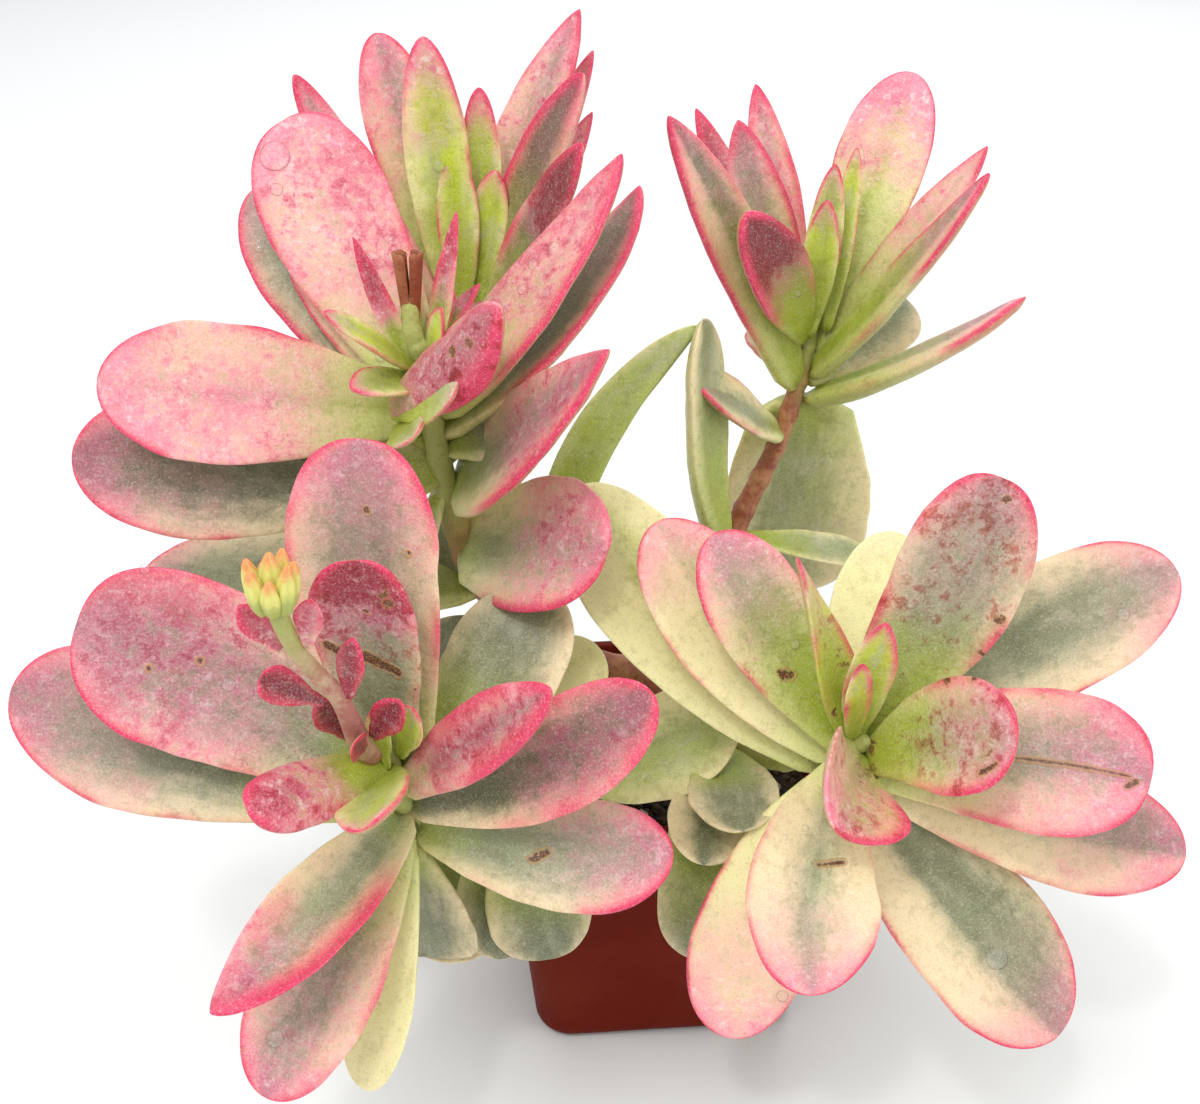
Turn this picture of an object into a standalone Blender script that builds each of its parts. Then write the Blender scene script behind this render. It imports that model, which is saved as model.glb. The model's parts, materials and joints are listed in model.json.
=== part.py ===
"""Potted crassula: a bushy, branching succulent in a square plastic nursery pot.

The pot stands on the XY plane with its base centre at the origin and its walls square to the
axes. The plant grows out of the soil as five shoots: one at the upper left, one behind it, one at
the rear right and two that lean out over the front of the pot. Every leaf is its own solid.
"""
from collections import namedtuple
from math import cos, pi, radians, sin, sqrt

import bmesh
import bpy
from mathutils import Matrix, Vector

MM = 0.001
GAP = 0.4

# Pot and soil, in millimetres
POT_TOP = 66.0
POT_BOTTOM = 53.0
POT_HEIGHT = 59.0
POT_WALL = 1.5
POT_FLOOR = 2.8
CORNER_RADIUS = 7.5
CORNER_STEPS = 6
BASE_RADIUS = 4.0
RIM_HEIGHT = 7.0
RIM_STEP = 1.0
LIP_RADIUS = 0.5
NOTCH_WIDTH = 24.0
NOTCH_REACH = 9.0
NOTCH_HEIGHT = 1.7
DRAIN_RADIUS = 3.0
DRAIN_SPACING = 26.0
SOIL_TOP = 49.0
SOIL_MOUND = 2.5
# The mound's slope and its flat top start this far inside the soil's edge
MOUND_INSET = 5.0
MOUND_TOP_INSET = 12.0

# The plant is turned and shifted a little in its pot
PLANT_TURN = radians(-4.5)
PLANT_SHIFT = (2.0, -1.5, -1.5)

# Stems: (x, y, z, radius) along each one, in millimetres
TRUNK = [(1, 2, 34, 4.0), (-1, 2, 52, 4.2), (-5, 1, 62, 4.2), (-7, 0, 71, 4.4), (-7, 0, 78, 3.2)]
BRANCHES = {
    "upper_left": [(-7, 0, 74, 3.2), (-22, -4, 83, 3.0), (-36, -10, 102, 2.6), (-41, -14, 124, 2.2),
                   (-44, -18, 153, 1.6)],
    "rear_left": [(-33, -8, 97, 2.4), (-36, 8, 108, 2.4), (-39, 24, 121, 1.8), (-40, 33, 142, 1.2)],
    "front_left": [(-7, 0, 69, 3.2), (-22, -16, 66, 2.7), (-38, -38, 70, 2.4), (-47, -50, 82, 2.0),
                   (-49, -52, 96, 1.6)],
    "front_right": [(-6, 0, 73, 3.2), (5, -15, 74, 2.5), (18, -30, 76, 1.9), (31, -47, 93, 1.5)],
    "cut_stalk": [(-44, -18, 150, 1.4), (-45, -17, 158, 2.0), (-45, -16, 164, 1.9),
                  (-46, -15, 169, 1.7)],
}
REAR_STEM = [(7, 9, 36, 3.2), (9, 14, 52, 3.2), (11, 26, 70, 2.9), (14, 34, 86, 2.4),
             (23, 38, 107, 1.7), (27, 39.5, 122, 1.4), (29, 40, 135, 1.2)]
# The flower stalk swells into the flower bud at its top
FLOWER_STALK = [(-52, -57, 99, 1.5), (-54, -62, 112, 1.3), (-58, -69, 125, 1.1),
                (-60, -72, 133, 1.4), (-60, -72, 137, 3.8), (-60, -72, 142, 4.0),
                (-60, -72, 145, 1.2)]

# Leaf outlines: width at the foot as a share of the greatest width, where along the leaf the
# greatest width lies, and how blunt the tip is (0.5 is a half ellipse, 1 comes to a point)
OUTLINES = {
    "spoon": (0.34, 0.66, 0.50),
    "paddle": (0.40, 0.68, 0.40),
    "oval": (0.42, 0.55, 0.55),
    "tongue": (0.50, 0.50, 0.60),
    "broad": (0.62, 0.60, 0.42),
    "acute": (0.55, 0.48, 0.72),
    "lance": (0.60, 0.30, 0.85),
}

# A leaf leaves its shoot `down` mm below the shoot's tip. Heading is the compass way its tip lies
# (0 is +X, 90 is +Y), rise is the angle up from level, both in degrees. Length and width are in mm.
# Arch and sway are how far the middle bows towards the upper face and sideways, in mm. Roll turns
# the whole leaf about its length and twist adds to it towards the tip, in degrees. Cup is how far
# the edges stand above the middle, as a share of the half width.
Leaf = namedtuple("Leaf", "down heading rise length width arch sway roll twist cup outline",
                  defaults=(0, 0, 0, 0, 0.2, "spoon"))

# Shoots: tip, growing direction, the way its upper faces look, and its leaves
SHOOTS = {
    "upper_left": ((-44, -18, 153), (-0.12, -0.14, 0.98), (-0.3, -0.6, 0.75), [
        Leaf(13, 193, 10, 55, 23, roll=-28),
        Leaf(26, 191, 7, 63, 25, roll=-27),
        Leaf(10, 142, 54, 51, 22, outline="paddle"),
        Leaf(20, 144, 42, 55, 20, sway=1),
        Leaf(13, 21, 49, 53, 16, sway=3, roll=-15, outline="lance"),
        Leaf(18, 36, 39, 56, 15, sway=6, roll=-20, outline="acute"),
        Leaf(29, 322, 44, 50, 20, sway=2, roll=-10, outline="lance"),
        Leaf(42, 321, 17, 36, 24, roll=10, outline="broad"),
    ]),
    "upper_left_side": ((-50, -27, 145), (-0.2, -0.7, 0.68), (-0.2, -0.7, 0.68), [
        Leaf(3, 334, 44, 32, 13, cup=-0.5, outline="tongue"),
    ]),
    "rear_left": ((-40, 33, 142), (0, 0.1, 0.99), (0, -0.5, 0.86), [
        Leaf(11, 198, 62, 63, 10, sway=-1, roll=-5, outline="tongue"),
        Leaf(4, 137, 66, 55, 14),
        Leaf(2, 208, 83, 52, 12, outline="oval"),
        Leaf(0, 48, 82, 39, 8, outline="oval"),
        Leaf(5, 34, 64, 62, 15, sway=-2, roll=-20, outline="acute"),
        Leaf(10, 335, 65, 61, 13, sway=-2, roll=-10, outline="tongue"),
    ]),
    "rear_right": ((29, 40, 135), (0.1, 0.05, 0.99), (0, -0.5, 0.86), [
        Leaf(14, 207, 60, 67, 12, sway=1, roll=-20, outline="acute"),
        Leaf(9, 171, 71, 50, 13, roll=-10, outline="acute"),
        Leaf(4, 228, 51, 39, 13, roll=-45, cup=0.5, outline="oval"),
        Leaf(3, 41, 62, 53, 18),
        Leaf(7, 356, 53, 52, 11, sway=1, roll=-20, outline="acute"),
        Leaf(11, 326, 53, 57, 10, sway=3, roll=-20, cup=0.3, outline="acute"),
        Leaf(18, 352, 29, 49, 9, sway=6, roll=-35, outline="acute"),
        Leaf(14, 37, 21, 30, 20),
    ]),
    "rear_stem": ((23, 38, 107), (0.39, 0.17, 0.91), (0, -0.5, 0.86), [
        Leaf(-8, 84, -71, 62, 34, outline="broad"),
        Leaf(24, 233, 76, 57, 14, sway=-3, roll=40, outline="paddle"),
    ]),
    "left_branch": ((-36, -10, 102), (-0.5, -0.2, 0.8), (0, -0.4, 0.9), [
        Leaf(20, 46, 50, 69, 10, sway=-9, outline="tongue"),
        Leaf(0, 178, -2, 65, 24),
    ]),
    "front_left": ((-49, -52, 96), (-0.15, -0.1, 0.98), (-0.2, -0.75, 0.62), [
        Leaf(6, 170, 24, 58, 29, sway=2, outline="paddle"),
        Leaf(12, 169, 10, 71, 27),
        Leaf(9, 103, 72, 59, 26, sway=-2, outline="paddle"),
        Leaf(2, 140, 84, 36, 18, sway=-1, outline="paddle"),
        Leaf(8, 331, 43, 42, 12, outline="tongue"),
        Leaf(14, 350, 34, 51, 18, sway=3),
        Leaf(20, 347, 5, 46, 19, sway=2),
        Leaf(16, 46, 40, 46, 21),
        Leaf(16, 230, -16, 46, 15, sway=-2, cup=0.7, outline="acute"),
        Leaf(20, 232, -40, 50, 20),
        Leaf(24, 249, -56, 43, 12),
        Leaf(2, 236, 16, 33, 11, cup=-0.3, outline="broad"),
    ]),
    "front_right": ((31, -47, 93), (0.35, -0.5, 0.79), (0.1, -0.75, 0.65), [
        Leaf(6, 158, 54, 46, 17.5),
        Leaf(10, 154, 47, 53, 20, sway=-2),
        Leaf(15, 150, 40, 67, 22, sway=-3),
        Leaf(5, 18, 67, 54, 21, sway=2, outline="paddle"),
        Leaf(8, 18, 23, 67, 23, sway=-2),
        Leaf(11, 66, 45, 43, 18),
        Leaf(1, 315, 27, 31, 19, sway=-2, outline="paddle"),
        Leaf(6, 341, 7, 49, 24, sway=-2, outline="paddle"),
        Leaf(9, 354, -15, 63, 21, sway=1),
        Leaf(13, 327, -40, 61, 25),
        Leaf(7, 256, -28, 43, 22, sway=3),
        Leaf(13, 232, -58, 52, 21, sway=4),
        Leaf(1, 178, 69, 39, 9, twist=60, outline="lance"),
    ]),
    "lower_left": ((-34, -32, 68), (-0.58, -0.8, 0.15), (0, -0.6, 0.8), [
        Leaf(18, 346, 27, 40, 20, sway=3),
        Leaf(1, 275, -63, 30, 16),
    ]),
    "lower_right": ((8, -20, 73), (1, 0, 0), (0, -0.6, 0.8), [
        Leaf(0, 264, -52, 41, 20, arch=8),
    ]),
}
LEAF_THICKNESS = 2.8
# Thickness at the foot, how much it falls towards the tip, and at the tip itself, as shares
FOOT_THICKNESS = 1.15
THICKNESS_FALL = 0.35
TIP_THICKNESS = 0.4
# Narrowest a leaf gets at its two ends, as a share of its greatest width
END_WIDTH = 0.28
# How far a leaf's foot stands from the middle of its stem
LEAF_FOOT = 3.2
RING_STATIONS = (0.0, 0.2, 0.45, 0.7, 0.9, 1.0)
# Once subdivided, a ring of four points shrinks to three quarters of its size
CAGE_SCALE = 4 / 3


def clear_scene():
    for obj in list(bpy.data.objects):
        bpy.data.objects.remove(obj)


def new_collection(name):
    collection = bpy.data.collections.new(name)
    bpy.context.scene.collection.children.link(collection)
    return collection


def principled(name, colour, roughness):
    material = bpy.data.materials.new(name)
    material.use_nodes = True
    shader = material.node_tree.nodes["Principled BSDF"]
    shader.inputs["Base Color"].default_value = (*colour, 1)
    shader.inputs["Roughness"].default_value = roughness
    shader.inputs["Metallic"].default_value = 0
    return material


def finish_mesh(bm, name, collection, material):
    bmesh.ops.recalc_face_normals(bm, faces=bm.faces)
    mesh = bpy.data.meshes.new(name)
    bm.to_mesh(mesh)
    bm.free()
    obj = bpy.data.objects.new(name, mesh)
    collection.objects.link(obj)
    if material:
        mesh.materials.append(material)
    return obj


def as_cutter(obj):
    obj.hide_render = True
    obj.display_type = "WIRE"
    return obj


def add_boolean(target, other, operation):
    modifier = target.modifiers.new(other.name, "BOOLEAN")
    modifier.operation = operation
    modifier.solver = "EXACT"
    modifier.object = other


def blend(low, high, share):
    return low + (high - low) * share


# ---------------------------------------------------------------- pot and soil

def square_ring(bm, side, height, corner):
    """A level ring of vertices round a square with rounded corners."""
    ring = []
    reach = side / 2 - corner
    for quarter in range(4):
        middle = quarter * pi / 2 + pi / 4
        centre = Vector((cos(middle), sin(middle))) * reach * sqrt(2)
        for step in range(CORNER_STEPS + 1):
            angle = middle + (step / CORNER_STEPS - 0.5) * pi / 2
            x = centre.x + corner * cos(angle)
            y = centre.y + corner * sin(angle)
            ring.append(bm.verts.new((x * MM, y * MM, height * MM)))
    return ring


def square_loft(name, sections, collection, material):
    """A closed body through rounded squares of different sizes: (side, height, corner)."""
    bm = bmesh.new()
    rings = [square_ring(bm, *section) for section in sections]
    for near, far in zip(rings, rings[1:]):
        for i in range(len(near)):
            j = (i + 1) % len(near)
            bm.faces.new((near[i], near[j], far[j], far[i]))
    bm.faces.new(rings[0])
    bm.faces.new(rings[-1])
    bmesh.ops.triangulate(bm, faces=bm.faces)
    return finish_mesh(bm, name, collection, material)


def side_at(z):
    """Outer side length of the pot's wall at a height, below its rim."""
    return blend(POT_BOTTOM, POT_TOP - 2 * RIM_STEP, z / POT_HEIGHT)


def rounded_foot(low, side, corner, radius):
    """Sections that round the bottom edge of a block which stands at height low."""
    sections = []
    for step in range(4):
        angle = step / 3 * pi / 2
        inset = radius * (1 - sin(angle))
        sections.append((side - 2 * inset, low + radius * (1 - cos(angle)), corner - inset))
    return sections


def box_cutter(name, size, centre, turn, collection):
    bm = bmesh.new()
    bmesh.ops.create_cube(bm, size=1)
    bmesh.ops.scale(bm, vec=Vector(size) * MM, verts=bm.verts)
    obj = as_cutter(finish_mesh(bm, name, collection, None))
    obj.location = Vector(centre) * MM
    obj.rotation_euler.z = turn
    return obj


def build_pot(parts, cutters, material):
    """Outer wall up to the stepped rim, over the lip and down the inside to the floor."""
    rim = POT_HEIGHT - RIM_HEIGHT
    inner_corner = CORNER_RADIUS - POT_WALL
    inner_top = POT_TOP - 2 * (RIM_STEP + POT_WALL)
    outside = rounded_foot(0, side_at(BASE_RADIUS), CORNER_RADIUS, BASE_RADIUS)
    outside += [
        (side_at(rim), rim, CORNER_RADIUS),
        (side_at(rim) + 2 * RIM_STEP, rim + RIM_STEP / 2, CORNER_RADIUS + RIM_STEP),
        (POT_TOP, POT_HEIGHT - LIP_RADIUS, CORNER_RADIUS + RIM_STEP),
        (POT_TOP - 2 * LIP_RADIUS, POT_HEIGHT, CORNER_RADIUS + RIM_STEP - LIP_RADIUS),
    ]
    inside = rounded_foot(POT_FLOOR, side_at(POT_FLOOR) - 2 * POT_WALL, inner_corner, BASE_RADIUS - 1)
    inside.append((inner_top, POT_HEIGHT, inner_corner))
    pot = square_loft("pot", outside + inside[::-1], parts, material)
    for side in range(4):
        turn = side * pi / 2
        reach = POT_BOTTOM / 2 - NOTCH_REACH / 2 + 1
        centre = (reach * cos(turn), reach * sin(turn), 0)
        size = (NOTCH_REACH + 2, NOTCH_WIDTH, 2 * NOTCH_HEIGHT)
        add_boolean(pot, box_cutter(f"foot_notch_{side}", size, centre, turn, cutters), "DIFFERENCE")
    for x in (-DRAIN_SPACING / 2, DRAIN_SPACING / 2):
        for y in (-DRAIN_SPACING / 2, DRAIN_SPACING / 2):
            bm = bmesh.new()
            radius = DRAIN_RADIUS * MM
            bmesh.ops.create_cone(bm, cap_ends=True, segments=12, radius1=radius, radius2=radius,
                                  depth=3 * POT_FLOOR * MM)
            drain = as_cutter(finish_mesh(bm, f"drain_{x:+.0f}_{y:+.0f}", cutters, None))
            drain.location = Vector((x, y, 0)) * MM
            add_boolean(pot, drain, "DIFFERENCE")


def build_soil(parts, cutters, material, stems):
    """The soil fills the pot to its own level, domed, with a hole where each stem goes in."""
    low = POT_FLOOR + GAP
    inset = 2 * (POT_WALL + GAP)
    corner = CORNER_RADIUS - POT_WALL - GAP
    top = side_at(SOIL_TOP) - inset
    sections = rounded_foot(low, side_at(low) - inset, corner, BASE_RADIUS - 1)
    sections += [
        (top, SOIL_TOP, corner),
        (top - 2 * MOUND_INSET, SOIL_TOP + SOIL_MOUND * 0.6, corner),
        (top - 2 * MOUND_TOP_INSET, SOIL_TOP + SOIL_MOUND, corner),
    ]
    soil = square_loft("soil", sections, parts, material)
    for stem in stems:
        add_boolean(soil, stem, "DIFFERENCE")


# ---------------------------------------------------------------- stems

def tube(name, points, collection, material, swell=0.0):
    """A tapering tube through the points, as a closed mesh; swell widens it all along."""
    curve = bpy.data.curves.new(name, "CURVE")
    curve.dimensions = "3D"
    curve.bevel_depth = MM
    curve.bevel_resolution = 2
    curve.resolution_u = 3
    curve.use_fill_caps = True
    spline = curve.splines.new("BEZIER")
    spline.bezier_points.add(len(points) - 1)
    for knot, (x, y, z, radius) in zip(spline.bezier_points, points):
        knot.co = Vector((x, y, z)) * MM
        knot.radius = radius + swell
        knot.handle_left_type = "AUTO"
        knot.handle_right_type = "AUTO"
    guide = bpy.data.objects.new(name + "_curve", curve)
    collection.objects.link(guide)
    bpy.context.view_layer.update()
    depsgraph = bpy.context.evaluated_depsgraph_get()
    mesh = bpy.data.meshes.new_from_object(guide.evaluated_get(depsgraph))
    bpy.data.objects.remove(guide)
    bm = bmesh.new()
    bm.from_mesh(mesh)
    bmesh.ops.remove_doubles(bm, verts=bm.verts, dist=0.00001)
    obj = finish_mesh(bm, name, collection, material)
    obj.data.shade_smooth()
    return obj


def below_soil(points):
    """The first three knots of a stem, started a gap lower down."""
    x, y, z, radius = points[0]
    return [(x, y, z - GAP, radius), *points[1:3]]


def build_stems(parts, cutters, material, plant):
    trunk = tube("main_stem", TRUNK, parts, material)
    for name, points in BRANCHES.items():
        branch = as_cutter(tube(f"{name}_branch", points, cutters, None))
        branch.parent = plant
        add_boolean(trunk, branch, "UNION")
    rear = tube("rear_stem", REAR_STEM, parts, material)
    stalk = tube("flower_stalk", FLOWER_STALK, parts, material)
    for obj in (trunk, rear, stalk):
        obj.parent = plant
    sockets = [as_cutter(tube("main_stem_socket", below_soil(TRUNK), cutters, None, GAP)),
               as_cutter(tube("rear_stem_socket", below_soil(REAR_STEM), cutters, None, GAP))]
    for socket in sockets:
        socket.parent = plant
    return sockets


# ---------------------------------------------------------------- leaves

def outline_share(outline, t):
    """Half width at t along the leaf, as a share of the greatest half width."""
    foot, widest, blunt = OUTLINES[outline]
    if t <= widest:
        return foot + (1 - foot) * sin(pi / 2 * t / widest)
    s = (t - widest) / (1 - widest)
    return (1 - s * s) ** blunt


def leaf_axes(chord, facing, roll):
    """Chord, upper-face normal and sideways direction, all unit vectors."""
    face = (facing - facing.dot(chord) * chord).normalized()
    face = Matrix.Rotation(radians(roll), 3, chord) @ face
    return chord, face, chord.cross(face)


def spine_point(leaf, start, length, axes, t):
    """The point, face normal and side direction at t along the leaf's bowed spine."""
    chord, face, side = axes
    bow = 4 * t * (1 - t)
    slope = 4 * (1 - 2 * t)
    point = start + chord * length * t + face * leaf.arch * bow + side * leaf.sway * bow
    tangent = (chord * length + face * leaf.arch * slope + side * leaf.sway * slope).normalized()
    turned = Matrix.Rotation(radians(leaf.twist) * t, 3, tangent) @ face
    normal = (turned - turned.dot(tangent) * tangent).normalized()
    return point, normal, tangent.cross(normal)


def build_leaf(name, leaf, tip, axis, facing, collection, material):
    """A coarse cage of four-point rings (edge, top, edge, underside), rounded by subdivision."""
    heading = radians(leaf.heading)
    rise = radians(leaf.rise)
    reach = Vector((cos(rise) * cos(heading), cos(rise) * sin(heading), sin(rise)))
    node = tip - axis * leaf.down
    start = node + (reach - reach.dot(axis) * axis).normalized() * LEAF_FOOT
    span = node + reach * leaf.length - start
    axes = leaf_axes(span.normalized(), facing, leaf.roll)
    bm = bmesh.new()
    rings = []
    for t in RING_STATIONS:
        point, normal, side = spine_point(leaf, start, span.length, axes, t)
        share = max(outline_share(leaf.outline, t), END_WIDTH)
        half = leaf.width / 2 * share
        thick = LEAF_THICKNESS / 2 * (FOOT_THICKNESS - THICKNESS_FALL * t if t < 1 else TIP_THICKNESS)
        lift = leaf.cup * half * share
        ring = []
        for across, up in ((-half, lift), (0, thick), (half, lift), (0, -thick)):
            offset = side * across + normal * up
            ring.append(bm.verts.new((point + offset * CAGE_SCALE) * MM))
        rings.append(ring)
    for near, far in zip(rings, rings[1:]):
        for i in range(4):
            j = (i + 1) % 4
            bm.faces.new((near[i], near[j], far[j], far[i]))
    bm.faces.new(rings[0])
    bm.faces.new(rings[-1])
    obj = finish_mesh(bm, name, collection, material)
    modifier = obj.modifiers.new("rounding", "SUBSURF")
    modifier.levels = 1
    modifier.render_levels = 1
    obj.data.shade_smooth()
    return obj


def build_leaves(parts, material, plant):
    for shoot, (tip, axis, facing, leaves) in SHOOTS.items():
        for number, leaf in enumerate(leaves, 1):
            obj = build_leaf(f"{shoot}_leaf_{number:02d}", leaf, Vector(tip), Vector(axis).normalized(),
                             Vector(facing).normalized(), parts, material)
            obj.parent = plant


def main():
    clear_scene()
    parts = new_collection("potted_crassula")
    cutters = new_collection("cutters")
    plastic = principled("pot_plastic", (0.13, 0.012, 0.004), 0.42)
    earth = principled("soil", (0.035, 0.022, 0.014), 0.95)
    bark = principled("stem_bark", (0.28, 0.08, 0.04), 0.55)
    green = principled("leaf_skin", (0.30, 0.34, 0.16), 0.45)
    plant = bpy.data.objects.new("plant", None)
    plant.rotation_euler.z = PLANT_TURN
    plant.location = Vector(PLANT_SHIFT) * MM
    cutters.objects.link(plant)
    build_pot(parts, cutters, plastic)
    sockets = build_stems(parts, cutters, bark, plant)
    build_soil(parts, cutters, earth, sockets)
    build_leaves(parts, green, plant)


main()
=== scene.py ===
"""Potted crassula: the finished look of a branching, pink and cream edged succulent in its pot.

Run as a script. It is laid out as an add-on: settings, one operator for each group of pieces, a
panel, and a main function that runs the operators in order.
"""

import json
from collections import namedtuple
from math import cos, pi, radians, sin, sqrt

import bmesh
import bpy
import numpy as np
from mathutils import Matrix, Vector, kdtree, noise

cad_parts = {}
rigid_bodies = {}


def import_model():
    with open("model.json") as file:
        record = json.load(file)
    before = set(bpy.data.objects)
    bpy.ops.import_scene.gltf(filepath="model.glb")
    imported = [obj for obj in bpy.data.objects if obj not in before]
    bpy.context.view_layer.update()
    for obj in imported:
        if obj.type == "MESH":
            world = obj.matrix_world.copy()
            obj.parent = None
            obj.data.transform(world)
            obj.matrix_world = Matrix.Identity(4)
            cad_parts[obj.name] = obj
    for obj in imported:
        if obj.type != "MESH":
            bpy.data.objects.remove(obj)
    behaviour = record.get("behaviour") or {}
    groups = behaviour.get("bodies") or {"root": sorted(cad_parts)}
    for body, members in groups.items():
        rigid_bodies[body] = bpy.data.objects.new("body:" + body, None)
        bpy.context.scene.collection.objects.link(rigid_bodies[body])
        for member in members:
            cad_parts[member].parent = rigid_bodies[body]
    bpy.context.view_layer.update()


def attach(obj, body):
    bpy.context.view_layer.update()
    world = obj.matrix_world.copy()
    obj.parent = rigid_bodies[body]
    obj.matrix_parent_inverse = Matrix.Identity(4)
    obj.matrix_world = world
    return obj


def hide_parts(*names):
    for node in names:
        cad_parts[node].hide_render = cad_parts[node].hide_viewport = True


bl_info = {
    "name": "Potted crassula",
    "version": (1, 0, 0),
    "blender": (4, 5, 0),
    "location": "View3D > Sidebar > Crassula",
    "description": "Builds a branching variegated succulent in a square plastic pot",
    "category": "Add Mesh",
}

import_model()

MM = 0.001

# The plant is turned and shifted a little in its pot
PLANT_TURN = radians(-4.5)
PLANT_SHIFT = (2.0, -1.5, -1.5)

# ---------------------------------------------------------------- leaf tables

# Leaf outlines: width at the foot as a share of the greatest width, where along the leaf the
# greatest width lies, and how blunt the tip is (0.5 is a half ellipse, 1 comes to a point)
OUTLINES = {
    "spoon": (0.34, 0.66, 0.50),
    "paddle": (0.40, 0.68, 0.40),
    "oval": (0.42, 0.55, 0.55),
    "tongue": (0.50, 0.50, 0.60),
    "broad": (0.62, 0.60, 0.42),
    "acute": (0.55, 0.48, 0.72),
    "lance": (0.60, 0.30, 0.85),
}

# Looks: light runs from dark grey green (0) to lime (1). Blush is how pink the face is, and start
# is where along the leaf that begins. Left and right are the widths of the cream margins, as a
# share of the half width. Rim is the width of the hot pink edge line in mm, worn is how scarred
# the skin is and foot is how lime the foot of the leaf is; that lime is darkened as painted shade
# where the leaf meets its shoot. Lean says which edge is the hotter one: -1 only the left, 1 only
# the right.
Look = namedtuple("Look", "light blush start left right rim worn foot lean")
LOOKS = {
    "sage": Look(0.35, 0.30, 0.65, 0.28, 0.30, 0.8, 0.1, 0.6, 0.0),
    "rosy": Look(0.60, 1.00, 0.20, 1.10, 1.10, 0.9, 0.3, 0.9, 0.0),
    "dusk": Look(0.10, 0.75, 0.50, 0.22, 0.25, 1.0, 0.2, 0.7, 0.0),
    "cream": Look(0.45, 0.45, 0.70, 0.80, 0.70, 0.8, 0.1, 0.6, 0.0),
    "blond": Look(0.80, 0.15, 0.85, 1.25, 1.25, 0.4, 0.0, 0.6, 0.0),
    # The shade look darkens leaves deep in the plant: partly their own dark green, partly painted
    # shade
    "shade": Look(0.18, 0.00, 1.00, 0.18, 0.20, 0.0, 0.0, 0.7, 0.0),
    "olive": Look(0.45, 0.70, 0.45, 0.20, 0.20, 1.1, 0.8, 1.1, 0.0),
    "lime": Look(0.95, 0.40, 0.85, 0.15, 0.15, 0.6, 0.0, 1.1, 0.0),
    "crimson": Look(0.70, 2.20, 0.10, 0.40, 0.40, 1.2, 0.1, 1.0, 0.0),
    "hot": Look(0.60, 1.35, 0.00, 0.60, 0.60, 1.6, 0.2, 0.8, 0.0),
    "mauve": Look(0.30, 1.05, 0.30, 0.30, 0.35, 1.2, 0.3, 0.9, 0.0),
}

# A leaf leaves its shoot `down` mm below the shoot's tip. Heading is the compass way its tip lies
# (0 is +X, 90 is +Y), rise is the angle up from level, both in degrees. Length and width are in mm.
# Arch and sway are how far the middle bows towards the upper face and sideways, in mm. Roll turns
# the whole leaf about its length and twist adds to it towards the tip, in degrees. Cup is how far
# the edges stand above the middle, as a share of the half width. Plump scales its thickness. A
# look value left at None is the style's own. Each scar is a line between two places on the upper
# face, each (across -1 to 1, along 0 to 1), then its width in mm.
Leaf = namedtuple(
    "Leaf",
    "down heading rise length width style outline arch sway roll twist cup "
    "light blush start left right rim worn foot lean plump scars",
    defaults=("sage", "spoon", 0, 0, 0, 0, 0.2, *[None] * 9, 1.0, ()),
)

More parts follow.
